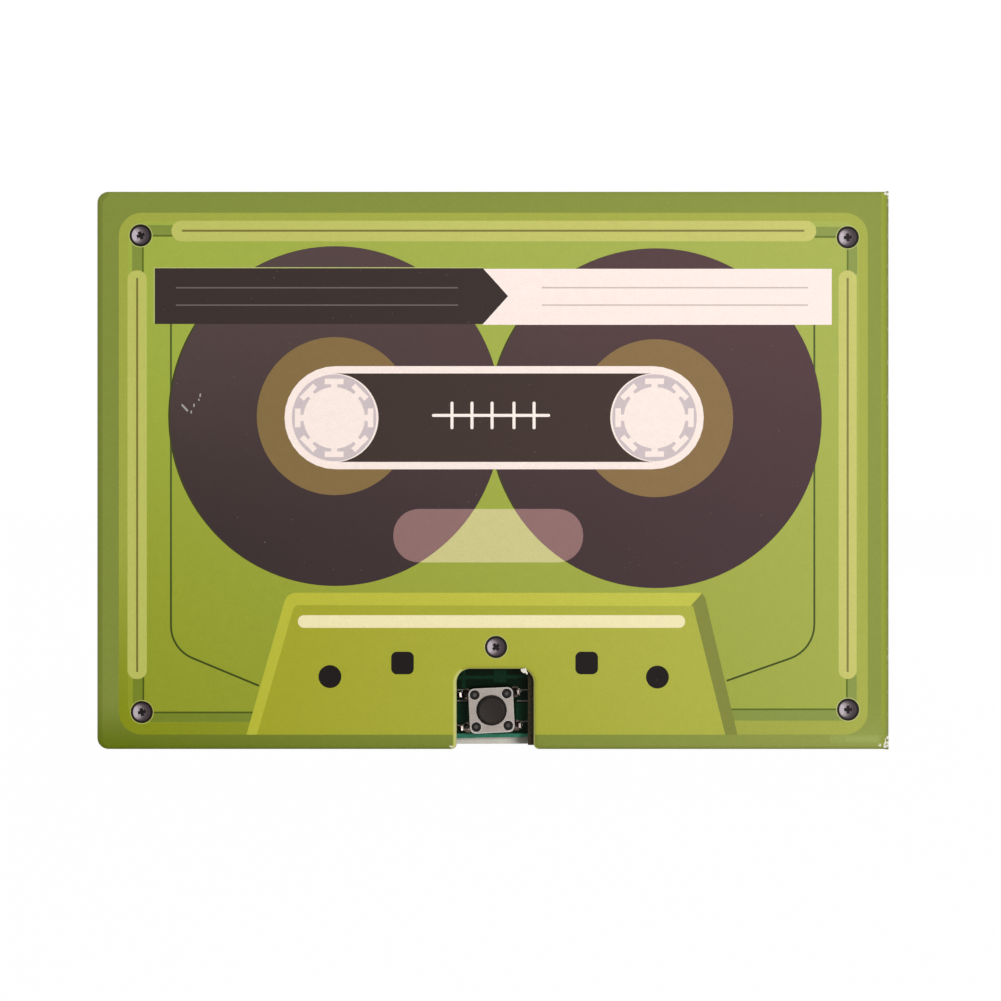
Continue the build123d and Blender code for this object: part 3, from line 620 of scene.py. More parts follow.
def frontShapes():
    # in painting order: each shape covers those before it
    shapes = [(ink, slab(*box)) for ink, *box in design["edges"]]
    left, right, low, high, radius = design["panel"]
    rim, rimLow, rimTop = design["panelRim"]
    shapes += [("rim", slab(left, right, low, high, radius)),
            ("panel", slab(left + rim, right - rim, low + rimLow, high - rimTop, radius - rim / 2))]
    shapes += bandShapes()
    for path, bend in design["lines"]:
        shapes.append(("line", stroke(bentPath(path, bend), design["lineWidth"], False)))
    across, up = design["reelSize"]
    shift = design["reelShift"]
    for x, z in design["reels"]:
        shapes += [("reelEdge", oval(x, z, across, up, 128)), ("reel", oval(x + shift, z, across - shift, up, 128)),
                ("reelRing", oval(x, z, *design["ringSize"], 96))]
    shapes += [("bar", slab(*design["topBar"])), ("barLine", slab(*design["topBarLine"]))]
    half, lineLow, lineHigh = design["sideBarLine"]
    for left, right in design["sideBars"]:
        middle = (left + right) / 2
        shapes += [("bar", slab(left, right, *design["sideBar"])),
                ("barLine", slab(middle - half, middle + half, lineLow, lineHigh))]
    for screw in design["screws"][:4]:
        shapes += screwShapes(*screw)
    shapes += [(ink, slab(*box)) for ink, *box in design["labels"]]
    shapes.append(("darkLabel", design["darkLabel"]))
    half = design["ruleHalf"]
    for z in design["rules"]:
        shapes += [(ink, slab(left, right, z - half, z + half)) for ink, left, right in design["ruleSpans"]]
    for left, top, right, low, width in design["scuffs"]:
        shapes.append(("scuff", stroke([(left, top), (right, low)], width)))
    left, right, low, high = design["window"]
    line, flat = design["windowLine"], design["windowFlat"]
    half = (high - low) / 2
    shapes += [("outline", slab(left, right, low, high, half - flat)),
            ("window", slab(left + line, right - line, low + line, high - line, half - line - flat))]
    for hub in design["hubs"]:
        shapes += hubShapes(*hub)
    shapes.append(("tick", slab(*design["tickBar"])))
    shapes += [("tick", slab(x - 0.2, x + 0.2, *design["tick"])) for x in design["ticks"]]
    pill = slab(*design["pill"])
    shapes.append(("pillOnPanel", pill))
    shapes += [("pillOnReel", crossOf(pill, oval(x, z, across, up, 128))) for x, z in design["reels"]]
    shapes += [(ink, rounded(corners, radii)) for ink, corners, radii in design["bevels"]]
    shapes.append(("paleBar", slab(*design["paleBar"])))
    shapes += [("hole", oval(x, z, design["roundHole"], count=40)) for x, z in design["roundHoles"]]
    half, radius = design["squareHole"]
    shapes += [("hole", slab(x - half, x + half, z - half, z + half, radius)) for x, z in design["squareHoles"]]
    shapes += screwShapes(*design["screws"][4])
    return [(inkNumber[ink], shape) for ink, shape in shapes]


def crossOf(first, second):
    # the part that two rounded shapes share, for shapes without hollows
    shared = list(first)
    for i, end in enumerate(second):
        start = second[i - 1]
        across = (end[0] - start[0], end[1] - start[1])
        side = [across[0] * (p[1] - start[1]) - across[1] * (p[0] - start[0]) for p in shared]
        clipped = []
        for j, here in enumerate(shared):
            before, now, last = side[j - 1], side[j], shared[j - 1]
            if (before >= 0) != (now >= 0):
                part = before / (before - now)
                clipped.append((last[0] + part * (here[0] - last[0]), last[1] + part * (here[1] - last[1])))
            if now >= 0:
                clipped.append(here)
        shared = clipped
    return shared


def notchedOutline(left, right, low, high, gap, corner, mouth, deep):
    # an outline with the card's notch, widened by gap; corner, mouth and deep are the radii of its bends
    notchLeft, notchRight, notchTop = card["notchLeft"] - gap, card["notchRight"] + gap, card["notchTop"] + gap
    corners = [(left, low), (notchLeft, low), (notchLeft, notchTop), (notchRight, notchTop), (notchRight, low),
        (right, low), (right, high), (left, high)]
    return rounded(corners, [corner, mouth, deep, deep, mouth, 0, 0, corner])


# Where the roll round the notch is drawn pale, and from which ring of the roll on at its left and right side.
# The paleness is partly worn, cracked ink and partly a painted highlight, which reaches further on the left side that
# faces the light
paleRimWearAndHighlight = {"top": 12.5, "beyond": (1.3, 1.2), "leftReach": 0.3, "leftRing": 1, "rightRing": 3}


def paleRimRingFrom(x, z):
    # the ring of the rolled edge from which it is drawn pale, with worn ink and a painted highlight; none away from
    # the notch's rim
    left, right = card["notchLeft"], card["notchRight"]
    if z > paleRimWearAndHighlight["top"] or not left - paleRimWearAndHighlight["beyond"][0] < x < right + paleRimWearAndHighlight["beyond"][1]:
        return None
    return paleRimWearAndHighlight["leftRing"] if x < left + paleRimWearAndHighlight["leftReach"] else paleRimWearAndHighlight["rightRing"]


def addFrontSheet():
    roll = card["rollRadius"]    # the flat part ends where the roll begins; the fold's side stays
    outline = notchedOutline(-card["width"] / 2 + roll, card["foldX"], roll, card["height"] - roll, roll,
        card["cornerRadius"] - roll, max(card["mouthRadius"] - roll, 0.05), card["notchRadius"] + roll)
    verts, faces, inks = splitFlat(outline, frontShapes())
    points = [(v.x, faceY, v.y) for v in verts]
    fold = card["foldX"] - 0.001
    rolled = {edge: number for edge, number in openEdges(faces).items()
            if min(verts[edge[0]].x, verts[edge[1]].x) < fold}
    outward = {}
    for a, b in rolled:
        ahead = (verts[b] - verts[a]).normalized()
        for end in (a, b):
            outward.setdefault(end, []).append(Vector((ahead.y, -ahead.x)))
    rings = quarterTurn(roll, card["rollSteps"]) + [(roll, card["rollDepth"])]
    rows = {}
    for end, normals in outward.items():
        mean = sum(normals, Vector((0, 0))).normalized()
        reach = 1 / max(mean.dot(normals[0]), 0.7)
        row = [end]
        for out, down in rings:
            row.append(len(points))
            points.append((verts[end].x + mean.x * reach * out, faceY + down, verts[end].y + mean.y * reach * out))
        rows[end] = row
    for (a, b), number in rolled.items():
        middle = (verts[a] + verts[b]) / 2
        first = paleRimRingFrom(middle.x, middle.y)
        for step in range(len(rings)):
            faces.append([rows[a][step], rows[a][step + 1], rows[b][step + 1], rows[b][step]])
            if first is None or step < first:
                inks.append(inks[number])
            else:
                inks.append(inkNumber["wornAndLitSoft" if step == first else "wornAndLitEdge"])
    materials = [satinPrint(name) for name in inkAndPaintedLightTones]
    sheet = addPiece("printedFront", (points, faces, inks), "cover", materials, closed=False)
    thicken(sheet, card["paperThick"])
    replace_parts(sheet, "front_print_sheet")
    print("front sheet:", len(faces), "faces")


# Where the printed paper turns from the cover to the spine: one strip of it, worn along the bend.
# Its eye: the ink has cracked, so pale fibres show in short vertical flecks. Real cracks are hair thin
# and are drawn 0.14 mm wide so that they show.
fold = {
    "start": 52.2, "radius": 0.32, "end": -3.4, "steps": 6, "rows": 148, "wobble": 0.015, "thick": 0.18,
    # its inks are darker and greyer than the frame: painted shade where the bend turns away from the light
    "inks": ("#7d8648", "#7d8648", "#818a48", "#818a48"), "inkSpan": (0, 60), "fibre": "#c5c7a6",
    "fleckMm": 0.14, "fleckLength": 7.0, "fleckLevel": 0.6, "fleckMost": 0.6,
}


def addFold():
    material, tree, shader, place = printMaterial("crackedPrint")
    long = addNode(tree, "ShaderNodeMapping", {"Vector": place, "Scale": (1, 1, 1 / fold["fleckLength"])}).outputs[0]
    colour = specked(tree, long, fourTones(tree, place, fold["inks"], fold["inkSpan"]), fold["fibre"],
            fold["fleckMm"], fold["fleckLevel"], fold["fleckMost"], 2.0, 0.1)
    finishPrint(tree, shader, place, colour)
    outX = fold["start"] + fold["radius"]
    profile = [(fold["start"], faceY)]
    profile += [(fold["start"] + out, faceY + down) for out, down in quarterTurn(fold["radius"], fold["steps"])]
    profile += [(outX, (faceY + fold["end"]) / 2), (outX, fold["end"])]
    random.seed(7)
    verts, faces = [], []
    for row in range(fold["rows"] + 1):
        z = card["height"] * row / fold["rows"]
        nudge = random.uniform(-1, 0) * fold["wobble"]
        verts += [(x + (nudge if 1 < i < len(profile) - 2 else 0), y, z) for i, (x, y) in enumerate(profile)]
    width = len(profile)
    for first in range(0, fold["rows"] * width, width):
        faces += [[first + i, first + i + 1, first + i + 1 + width, first + i + width] for i in range(width - 1)]
    strip = addPiece("foldedPaper", (verts, faces, [0] * len(faces)), None, [material], closed=False)
    thicken(strip, fold["thick"])
    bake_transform(strip)
    print("fold strip made")


# Torn board paper at the corners and at the notch. Its eye: white, fuzzy, uneven.
tears = {
    "points": 11, "reach": (0.45, 1.15), "rimDepth": (0.02, 0.11), "thick": 0.2, "lowest": 0.05, "colour": "#f4efe2",
    "spots": [    # x, z, how deep behind the face, size, seed
        (4.2, 10.5, -0.02, 0.44, 3), (4.5, 10.15, 0.08, 0.24, 4), (-5.5, 0.42, -0.02, 0.27, 5),
        (52.12, 73.66, -0.03, 0.36, 6), (52.36, 73.1, 0.0, 0.14, 7), (52.38, 72.2, 0.0, 0.12, 8),
        (52.12, 0.95, -0.03, 0.56, 9), (51.35, 0.62, -0.03, 0.28, 10), (52.26, 1.6, -0.03, 0.34, 11),
        (52.05, 0.42, -0.03, 0.48, 12), (52.4, 33.1, 0.02, 0.1, 13), (52.42, 12.4, 0.02, 0.12, 14)],
}


def addTears():
    material = makeFinish("tornPaper", tears["colour"], (0.12, 0.86, 1.0), (0.1, 0.03), 0.9, strength=1.0,
        specular=0.2)
    count = tears["points"]
    parts = []
    for x, z, deep, size, seed in tears["spots"]:
        random.seed(seed)
        points = []
        for i in range(count):
            reach = size * random.uniform(*tears["reach"])
            angle = 2 * math.pi * i / count
            points.append((min(x + reach * math.cos(angle), card["width"] / 2),
                    faceY + deep + random.uniform(*tears["rimDepth"]),
                    z + max(reach * math.sin(angle), tears["lowest"] - z)))
        points += [(x, faceY + deep, z), (x, faceY + deep + tears["thick"], z)]
        faces = [[i, (i + 1) % count, count] for i in range(count)]
        faces += [[(i + 1) % count, i, count + 1] for i in range(count)]
        parts.append((points, faces, [0] * len(faces)))
    addPiece("tornFibres", joined(parts), "cover", [material], 60)
    print("torn fibres made")


# The sound module's board and its push switch, as they show in the notch
board = {
    "x": 0.3, "z": 16.1, "turn": 1.0, "faceY": 0.6, "width": 16.0, "height": 30.0, "thick": 1.0, "cornerRadius": 0.5,
    "looks": [("solderMask", "#041d0c", 0.22), ("maskOverCopper", "#0b3620", 0.24), ("bareLaminate", "#2f7860", 0.6),
        ("whiteLegend", "#8b877c", 0.6), ("maskPaintedLit", "#3f8f73", 0.3)],    # name, colour, roughness
    # the lighter strip of mask at the board's lower end is painted light, near the notch's open end
    "pad": "#b7b4a8", "coppers": [(-7.0, -3.3, 3.16, 5.75), (3.1, 7.2, 3.2, 5.75)], "paintedLitStrip": (-6.5, 7.0, 0.0, 1.62),
    "tracks": [([(1.0, 8.5), (1.0, 11.0), (3.5, 14.0), (3.5, 18.0)], 1.7),    # path and width
        ([(-3.9, 7.4), (-3.9, 12.0), (-1.5, 15.0), (-1.5, 19.0)], 0.5), ([(-7.0, 9.1), (7.4, 9.35)], 0.45)],
    "trackBend": 1.5, "legends": [(-5.2, -3.48, 2.72), (3.26, 4.7, 3.24)],    # left, right, lowest line
    "legendRows": (7.5, 6.02), "legendHalf": 0.08, "leadPad": (0.78, 0.68),
    "wireSpots": [(-4.2, 13.4), (-1.6, 13.4), (2.2, 13.4), (4.8, 13.4)], "wirePad": 1.15,
}
# Heights are above the board. A profile is a list of (radius, height).
switch = {
    "x": -0.17, "z": 5.07, "turn": 2.7, "side": 6.0, "cornerRadius": 0.8, "plateLow": 3.2, "plateHigh": 3.5,
    "plateHole": 1.98, "plateEdge": 0.075, "bodyInset": 0.03, "studPitch": 4.26, "studHole": 0.64,
    "wellRadius": 2.4, "wellFloor": 1.3, "leadSpan": 3.25, "leadPitch": 2.25, "leadDrop": 0.22, "leadWidth": 0.6,
    "leadThick": 0.3, "leadBend": 3.3, "leadReach": (0.45, 0.05),    # how much further the left and right ones reach
    # the grey of the stud tops is a painted highlight on their domes
    "plate": "#908882", "edge": "#e6e2de", "nylon": "#0f0c0b", "studTopHighlight": "#4f4b49", "plunger": "#1a110a",
    # the solder is drawn dark brown: painted shade round the legs
    "tin": "#cdbcb5", "solder": "#5b4e47",
    "stud": [(0, 0.5), (0.58, 0.5), (0.58, 0.12), (0.55, 0.04), (0.42, 0.02), (0.33, 0.06), (0.27, 0.1), (0.2, 0.1),
        (0, 0.08)],    # (radius, how far below the plate's face)
    "cap": [(0, 1.95), (0.8, 1.95), (0.8, 2.75), (2.2, 2.75), (2.2, 3.13), (1.75, 3.15), (1.75, 4.12), (1.73, 4.2),
        (1.67, 4.26), (1.58, 4.29), (1.5, 4.29), (1.42, 4.27), (1.36, 4.26), (0, 4.26)],
    "lead": [(2.95, 0.24), (3.2, 0.3), (3.42, 0.52), (3.56, 0.66), (3.7, 0.68), (3.79, 0.56), (3.72, 0.32),
        (3.45, 0.12), (3.27, -0.05), (3.25, -0.3), (3.25, -1.45)],    # (out from the middle, height)
    "leadSolder": [[(0, 0.34), (0.2, 0.33), (0.28, 0.24), (0.36, 0.15), (0.48, 0.08), (0.62, 0.03), (0.72, 0.0),
        (0, 0.0)],
        [(0, -1.7), (0.18, -1.66), (0.27, -1.5), (0.38, -1.3), (0.56, -1.12), (0.78, -1.04),
        (0.93, -1.0), (0, -1.0)]],
    "wireSolder": [(0, 1.05), (0.4, 1.0), (0.7, 0.8), (0.88, 0.45), (0.95, 0.0), (0, 0.0)],
}
onBoard = spotOn(board["x"], board["z"], board["turn"], board["faceY"])
onSwitch = spotOn(switch["x"], switch["z"], switch["turn"], board["faceY"])


def onBoardFace(points):
    # the board's own coordinates of points of the card
    back = Matrix.Rotation(math.radians(-board["turn"]), 2)
    return [tuple(back @ Vector((x - board["x"], z - board["z"]))) for x, z in points]


def leadSpots():
    return [(side * switch["leadSpan"], row * switch["leadPitch"] - switch["leadDrop"])
            for side in (-1, 1) for row in (-1, 1)]


def tinFinish(name, colour, roughness):
    # hot-tinned metal: bright, slightly dull and uneven
    return makeFinish(name, colour, (0.5, 0.88, 1.06), (0.4, 0.02), roughness, strength=0.5, metallic=1.0,
        wander=0.12)


def addBoard():
    # FR4 laminate under a wet-looking green solder mask: copper under it reads a little lighter,
    # the cut edge is paler, and the white print on it is slightly broken. The relief is the weave under the mask.
    # A lighter strip of mask along the board's lower end is painted light, where light comes in at the notch's open
    # end
    materials = [makeFinish(name, colour, (0.5, 0.85, 1.15), (0.35, 0.01), roughness, strength=0.4, ior=1.52,
            specular=0.05) for name, colour, roughness in board["looks"]]
    materials.append(tinFinish("tinnedPad", board["pad"], 0.3))
    copper, edge, legend, lit, pad = range(1, 6)    # the materials' numbers; 0 is the bare mask
    shapes = [(copper, slab(*box)) for box in board["coppers"]] + [(lit, slab(*board["paintedLitStrip"]))]
    shapes += [(copper, stroke(bentPath(path, board["trackBend"]), width, False)) for path, width in board["tracks"]]
    for left, right, lowest in board["legends"]:
        for z in (*board["legendRows"], lowest):
            shapes.append((legend, slab(left, right, z - board["legendHalf"], z + board["legendHalf"])))
    for u, v in leadSpots():
        x, _, z = onSwitch(u, v, 0)
        shapes.append((pad, oval(x, z, *board["leadPad"], 28)))
    shapes = [(ink, onBoardFace(shape)) for ink, shape in shapes]
    shapes += [(pad, oval(u, v, board["wirePad"], count=28)) for u, v in board["wireSpots"]]
    half, up = board["width"] / 2, board["height"] / 2
    outline = slab(-half, half, -up, up, board["cornerRadius"])
    shape = plateShape(onBoard, outline, -board["thick"], 0.0, shapes=shapes, wallInk=edge)
    piece = addPiece("circuitBoard", shape, "block", materials)
    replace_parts(piece, "circuit_board")
    print("circuit board made")


def mouldedFinish(name, colour, roughness):
    # moulded plastic, nylon for the body and ABS for the button: matt, faintly pitted
    return makeFinish(name, colour, (0.3, 0.85, 1.15), (0.12, 0.012), roughness, ior=1.53, specular=0.2)


def brushedPlate():
    # tin-plated sheet steel, stamped and lightly brushed: fine short scratches along x. Real ones are
    # about 0.01 mm wide and are drawn at 0.1 mm so that they show
    material, tree, shader, place = newMaterial("platedSteel", {"Metallic": 1.0})
    lines = noiseTone(tree, place, 0.1, 0.0, 1.0, 2.0, (0.12, 1, 1))
    blotch = noiseTone(tree, place, 1.2, 0.94, 1.05)
    fine = addNode(tree, "ShaderNodeMapRange", {"Value": lines, "To Min": 0.9, "To Max": 1.06}).outputs[0]
    shade = addNode(tree, "ShaderNodeMath", {0: blotch, 1: fine}, operation="MULTIPLY").outputs[0]
    rough = addNode(tree, "ShaderNodeMapRange", {"Value": lines, "To Min": 0.38, "To Max": 0.55}).outputs[0]
    tree.links.new(rough, shader.inputs["Roughness"])
    finishSurface(tree, shader, toned(tree, linearColour(switch["plate"]), shade), lines, 0.004, 0.5)
    return material


def addSwitch():
    side, corner = switch["side"] / 2, switch["cornerRadius"]
    low, high = switch["plateLow"], switch["plateHigh"]
    pitch = switch["studPitch"] / 2
    studs = [(x, z) for x in (-pitch, pitch) for z in (-pitch, pitch)]

    body = side - switch["bodyInset"]
    well = switch["wellRadius"]
    wall = well + switch["bodyInset"]
    floor = [(0, 0.02), (wall, 0.02), (wall, switch["wellFloor"]), (0, switch["wellFloor"])]
    stud = [(radius, high - drop) for radius, drop in switch["stud"]]
    parts = [plateShape(onSwitch, slab(-body, body, -body, body, corner), 0.0, low, [oval(0, 0, well, count=48)]),
            turnedShape(onSwitch, floor, count=48)]
    parts += [turnedShape(onSwitch, stud, u, v, 28, [0, 0, 0, 0, 0, 0, 1, 1]) for u, v in studs]    # painted highlight on the domed tops
    nylons = [mouldedFinish("blackNylon", switch["nylon"], 0.6), mouldedFinish("nylonPaintedHighlight", switch["studTopHighlight"], 0.7)]
    base = addPiece("switchBody", joined(parts), "block", nylons)
    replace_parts(base, "switch_base")

    holes = [oval(0, 0, switch["plateHole"], count=72)] + [oval(u, v, switch["studHole"], count=28) for u, v in studs]
    shape = plateShape(onSwitch, slab(-side, side, -side, side, corner), low, high, holes)
    # the bevelled rims take a much brighter metal: a painted highlight
    plate = addPiece("switchPlate", shape, "block", [brushedPlate(), tinFinish("paintedRimHighlight", switch["edge"], 0.3)])
    soften(plate, switch["plateEdge"], 2, 50, 1)
    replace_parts(plate, "switch_cover_plate")

    shape = turnedShape(onSwitch, switch["cap"], count=72)
    plunger = addPiece("pushButton", shape, "button", [mouldedFinish("brownAbs", switch["plunger"], 0.5)])
    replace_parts(plunger, "switch_plunger")

    leads, drops = [], []
    half = switch["leadWidth"] / 2
    for u, v in leadSpots():
        way = 1 if u > 0 else -1
        reach = switch["leadReach"][way > 0]
        path = [(a + (reach if a > switch["leadBend"] else 0), b) for a, b in switch["lead"]]
        leads.append(barShape(lambda a, b, c: onSwitch(way * a, c, b), stroke(path, switch["leadThick"], False),
                (v - half, v + half)))
        drops += [turnedShape(onSwitch, drop, u, v, 28) for drop in switch["leadSolder"]]
    drops += [turnedShape(onBoard, switch["wireSolder"], u, v, 28) for u, v in board["wireSpots"]]
    legs = addPiece("switchLegs", joined(leads), "block", [tinFinish("tinnedBrass", switch["tin"], 0.22)])
    soften(legs, 0.06, 2)
    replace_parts(legs, "switch_leads")
    # its dark brown is painted shade round the legs
    solder = tinFinish("solder", switch["solder"], 0.16)
    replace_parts(addPiece("solderDrops", joined(drops), "block", [solder], 40), "solder_joints")
    print("push switch made")


# White writing paper: uncoated, faintly fibrous. Fibres are drawn much wider than real so that they show
paper = {
    "page": "#f3eee3", "lining": "#fff9ee", "line": "#b9c0b4", "fibreMm": 0.35, "pageY": -2.7, "pageThick": 0.25,
    "pageBox": (-52.1, 51.25, 0.4, 73.6), "notchGap": 0.15, "pageCorner": 1.1, "notchRadius": 1.95,
    "lines": (24, 31, 38, 45, 52, 59), "lineSpan": (-43, 12), "lineHalf": 0.1,
    "holes": [(31.5, 37), (37.5, 37), (31.5, 43), (25.5, 37), (31.5, 31)], "holeRadius": 1.5,
    "liningY": 2.8, "liningThick": 0.15, "liningBox": (-52.3, 51.25, 0.04, 73.8, (1.2, 0, 0, 1.2)),
}


def writingPaper(name, colour):
    material, tree, shader, place = newMaterial(name, {"Roughness": 0.85, "Specular IOR Level": 0.25})
    cloud = noiseTone(tree, place, 2.5, 0.97, 1.02)
    fibre = noiseTone(tree, place, paper["fibreMm"], 0.96, 1.03, 3.0, (1, 1, 0.4))
    shade = addNode(tree, "ShaderNodeMath", {0: cloud, 1: fibre}, operation="MULTIPLY").outputs[0]
    finishSurface(tree, shader, toned(tree, linearColour(colour), shade), fibre, 0.02, 0.4)
    return material


def addPapers():
    # the page under the cover, with its ruled lines, and the white paper inside the back
    flat = spotOn(0, 0, 0, paper["pageY"] + paper["pageThick"])
    holes = [oval(x, z, paper["holeRadius"], count=40) for x, z in paper["holes"]]
    outline = notchedOutline(*paper["pageBox"], paper["notchGap"], paper["pageCorner"], 0, paper["notchRadius"])
    half = paper["lineHalf"]
    shapes = [(1, slab(*paper["lineSpan"], z - half, z + half)) for z in paper["lines"]]
    materials = [writingPaper("messageCard", paper["page"]), writingPaper("ruledLine", paper["line"])]
    shape = plateShape(flat, outline, 0.0, paper["pageThick"], holes, shapes)
    page = addPiece("messagePage", shape, "block", materials)
    soften(page, 0.05, 1, 60)
    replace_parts(page, "message_page")

    flat = spotOn(0, 0, 0, paper["liningY"] + paper["liningThick"])
    shape = plateShape(flat, slab(*paper["liningBox"]), 0.0, paper["liningThick"])
    inner = addPiece("backLiningPaper", shape, "block", [writingPaper("liningPaper", paper["lining"])])
    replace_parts(inner, "back_lining")
    print("papers made")


# The back's print: the front's colours with a bare panel, and the front's painted light: lighter to the right, darker
# low on the left
backPrint = {
    "frame": ("#808c3a", "#838d3b", "#6f7b22", "#8f9848"), "rim": ("#a8ad4a",),
    "panel": ("#9fae42", "#a8b253", "#97a136", "#a4ad4b"),
    "panelHalf": (47.0, 31.5), "panelMiddle": (0.0, 37.0), "radius": 4.0, "rimWide": 1.2, "backY": 4.0,
}


def backPrintPaper():
    material, tree, shader, place = printMaterial("backPrint")
    part = addNode(tree, "ShaderNodeSeparateXYZ", {0: place}).outputs
    radius = backPrint["radius"]
    offsets = []
    for along, middle, half in zip((part[0], part[2]), backPrint["panelMiddle"], backPrint["panelHalf"]):
        for value, step in ((middle * mm, "SUBTRACT"), (0.0, "ABSOLUTE"), ((half - radius) * mm, "SUBTRACT"),
                (0.0, "MAXIMUM")):
            along = addNode(tree, "ShaderNodeMath", {0: along, 1: value}, operation=step).outputs[0]
        offsets.append(along)
    corner = addNode(tree, "ShaderNodeCombineXYZ", {0: offsets[0], 1: offsets[1]})
    reach = addNode(tree, "ShaderNodeVectorMath", {0: corner.outputs[0]}, operation="LENGTH").outputs["Value"]
    onBack = addNode(tree, "ShaderNodeMath", {0: part[1], 1: backPrint["backY"] * mm}, operation="GREATER_THAN")
    colour = fourTones(tree, place, backPrint["frame"], (0, 30))
    for size, tones in ((radius, backPrint["rim"]), (radius - backPrint["rimWide"], backPrint["panel"])):
        within = addNode(tree, "ShaderNodeMath", {0: reach, 1: size * mm}, operation="LESS_THAN")
        both = addNode(tree, "ShaderNodeMath", {0: within.outputs[0], 1: onBack.outputs[0]}, operation="MULTIPLY")
        ink = fourTones(tree, place, tones, (0, 60))
        colour = addNode(tree, "ShaderNodeMix", {0: both.outputs[0], 6: colour, 7: ink}, data_type="RGBA").outputs[2]
    finishPrint(tree, shader, place, colour)
    return material


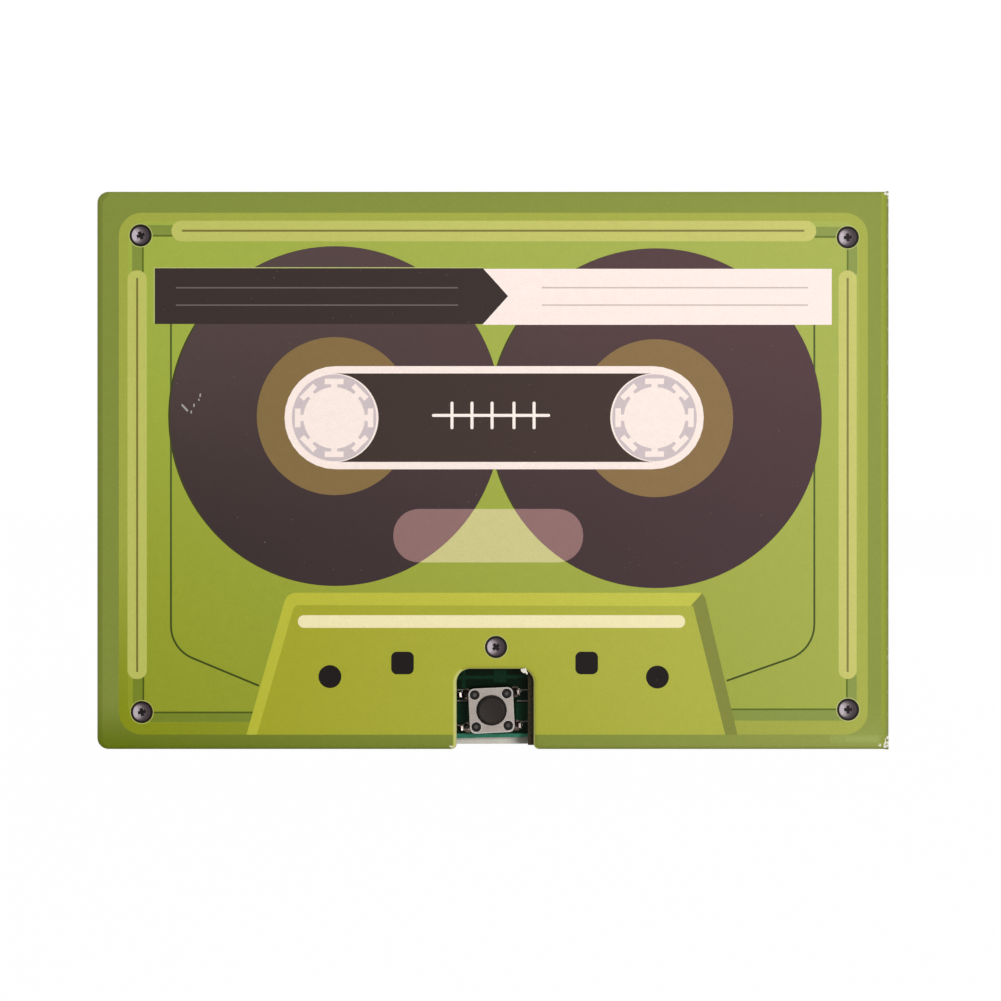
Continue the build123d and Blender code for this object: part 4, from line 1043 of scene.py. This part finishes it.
# Finishes of the CAD pieces that stay: nodes, colour, grain, bump, roughness and what differs from the usual,
# as makeFinish takes them. Grains and fibres finer than 0.1 mm are drawn at 0.1 mm or more so that they show.
stock = {
    # grey board, pressed from waste paper: dull, with layers along its thickness and odd dark fibres
    "greyBoard": ("front_board back_board spine_board", "#aaa190", (0.25, 0.78, 1.12, 0.25, 3, 0.25),
        (0.2, 0.04), 0.95, {"specks": ("#6b6252", 0.4, 0.66)}),
    # white writing paper, uncoated: faint fibres
    "coverLining": ("front_lining", "#f3eee3", (0.35, 0.96, 1.03, 1, 1, 0.4), (0.35, 0.02), 0.85, {}),
    # pale spacer board, die cut: fine layers show on its cut edges
    "layeredBoard": ("rear_spacer", "#cfc8b8", (0.3, 0.8, 1.08, 0.2, 3, 0.2),
        (0.25, 0.05), 0.95, {"specks": ("#8f8672", 0.5, 0.66)}),
    # dark brown spacer board, die cut: dead matt, its cut edge open and speckled
    "dieCutBoard": ("front_spacer", "#3a3324", (0.3, 0.7, 1.3),
        (0.25, 0.06), 0.95, {"specks": ("#1a140f", 0.35, 0.6)}),
    # poured epoxy: glossy black drop with a skin
    "pouredEpoxy": ("sound_chip", "#101010", (1.5, 0.9, 1.15), (1.2, 0.03), 0.25, {"ior": 1.55}),
    # fired and sintered ceramic: hard, even, half dull
    "firedCeramic": ("resistors", "#19191a", (0.3, 0.85, 1.2), (0.15, 0.01), 0.4, {}),
    "sinteredCeramic": ("capacitors", "#96744d", (0.3, 0.88, 1.1), (0.15, 0.01), 0.45, {}),
    # drawn aluminium: fine lines round the can
    "drawnAluminium": ("microphone_can", "#bfc1c4", (0.12, 0.92, 1.05, 1, 0.1, 1),
        (0.1, 0.004), 0.32, {"metallic": 1.0}),
    # FR4 disc, punched: green, half dull
    "fr4Disc": ("microphone_base", "#1f4a38", (0.4, 0.88, 1.1), (0.3, 0.01), 0.4, {}),
    # wool felt: dark, soft, with loose fibres
    "woolFelt": ("microphone_felt", "#17181a", (0.2, 0.6, 1.5), (0.15, 0.08), 1.0, {"sheen": 0.3}),
    # rolled spring steel: smooth and bright, with faint lines
    "springSteel": ("switch_dome", "#b9b4ac", (0.3, 0.93, 1.05, 1, 1, 0.2), (0.2, 0.003), 0.28, {"metallic": 1.0}),
    # zinc-plated steel: cool grey with a faint spangle
    "zincSteel": ("speaker_yoke speaker_top_plate", "#a4a7aa", (1.4, 0.86, 1.08),
        (0.5, 0.01), 0.38, {"metallic": 1.0}),
    # nickel plate on a sintered magnet: mirror-like, faintly clouded
    "nickelMagnet": ("speaker_magnet", "#b8b4ab", (2.0, 0.95, 1.04), (0.3, 0.003), 0.18, {"metallic": 1.0}),
    # polypropylene, moulded black
    "mouldedPlastic": ("speaker_basket", "#1b1b1c", (0.4, 0.88, 1.12), (0.2, 0.015), 0.55, {"ior": 1.49}),
    # kraft board, die cut: brown, dull, with darker fibres
    "kraftRing": ("speaker_ring", "#7a6549", (0.3, 0.8, 1.15, 1, 1, 0.4),
        (0.2, 0.03), 0.9, {"specks": ("#4b3b28", 0.3, 0.64)}),
    # phenolic paper laminate: warm brown, punched
    "phenolicBoard": ("speaker_terminals", "#8a5a34", (0.4, 0.88, 1.1, 1, 1, 0.4), (0.3, 0.01), 0.5, {"ior": 1.6}),
    # ABS, moulded: black, half dull
    "mouldedAbs": ("battery_tray", "#1d1d1e", (0.5, 0.9, 1.1), (0.25, 0.015), 0.5, {"ior": 1.53}),
    # nickel-plated cell cans: bright, with fine lines
    "nickelCan": ("button_cells", "#c3c2be", (0.15, 0.92, 1.05, 1, 1, 0.15), (0.12, 0.003), 0.24, {"metallic": 1.0}),
    # nickel strip, slit and stamped: bright, lines along it
    "nickelStrip": ("cell_contacts", "#bdbab0", (0.2, 0.9, 1.06, 0.2, 1, 1), (0.15, 0.004), 0.3, {"metallic": 1.0}),
    # open-cell PE foam tape: off-white, full of small pits
    "foamTape": ("foam_pads", "#e8e4dc", (0.3, 0.85, 1.06), (0.25, 0.08), 0.95, {"specks": ("#bdb8ad", 0.3, 0.62)}),
    # enamelled copper winding, with turns as fine as they can be drawn
    "enamelledCopper": ("voice_coil", "#b46a34", (0.12, 0.75, 1.2, 0.1, 3, 0.1),
        (0.12, 0.02), 0.3, {"metallic": 1.0}),
    # PET film, pressed: thin, glossy, faintly milky
    "pressedFilm": ("diaphragm", "#5f5b52", (1.5, 0.96, 1.03), (1.0, 0.01), 0.2, {"ior": 1.57}),
}
# PVC insulation, extruded: soft, slightly waxy. Node, colour, darkest, lightest
for name, node, colour, low, high in (("bluePvc", "speaker_wires", "#2f5da8", 0.94, 1.06),
        ("redPvc", "battery_wire_red", "#b3231d", 0.94, 1.06),
        ("blackPvc", "battery_wire_black", "#17171a", 0.9, 1.1)):
    stock[name] = (node, colour, (0.8, low, high), (0.4, 0.01), 0.42, {"ior": 1.53})


def dressNode(node, material):
    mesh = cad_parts[node].data
    mesh.materials.clear()
    mesh.materials.append(material)


setStudio()
addFloor()
addFrontSheet()
addFold()
addTears()
addBoard()
addSwitch()
addPapers()
for name, (nodes, colour, grain, bump, roughness, more) in stock.items():
    finish = makeFinish(name, colour, grain, bump, roughness, **more)
    for node in nodes.split():
        dressNode(node, finish)
dressNode("back_print_sheet", backPrintPaper())
print("CAD pieces finished")
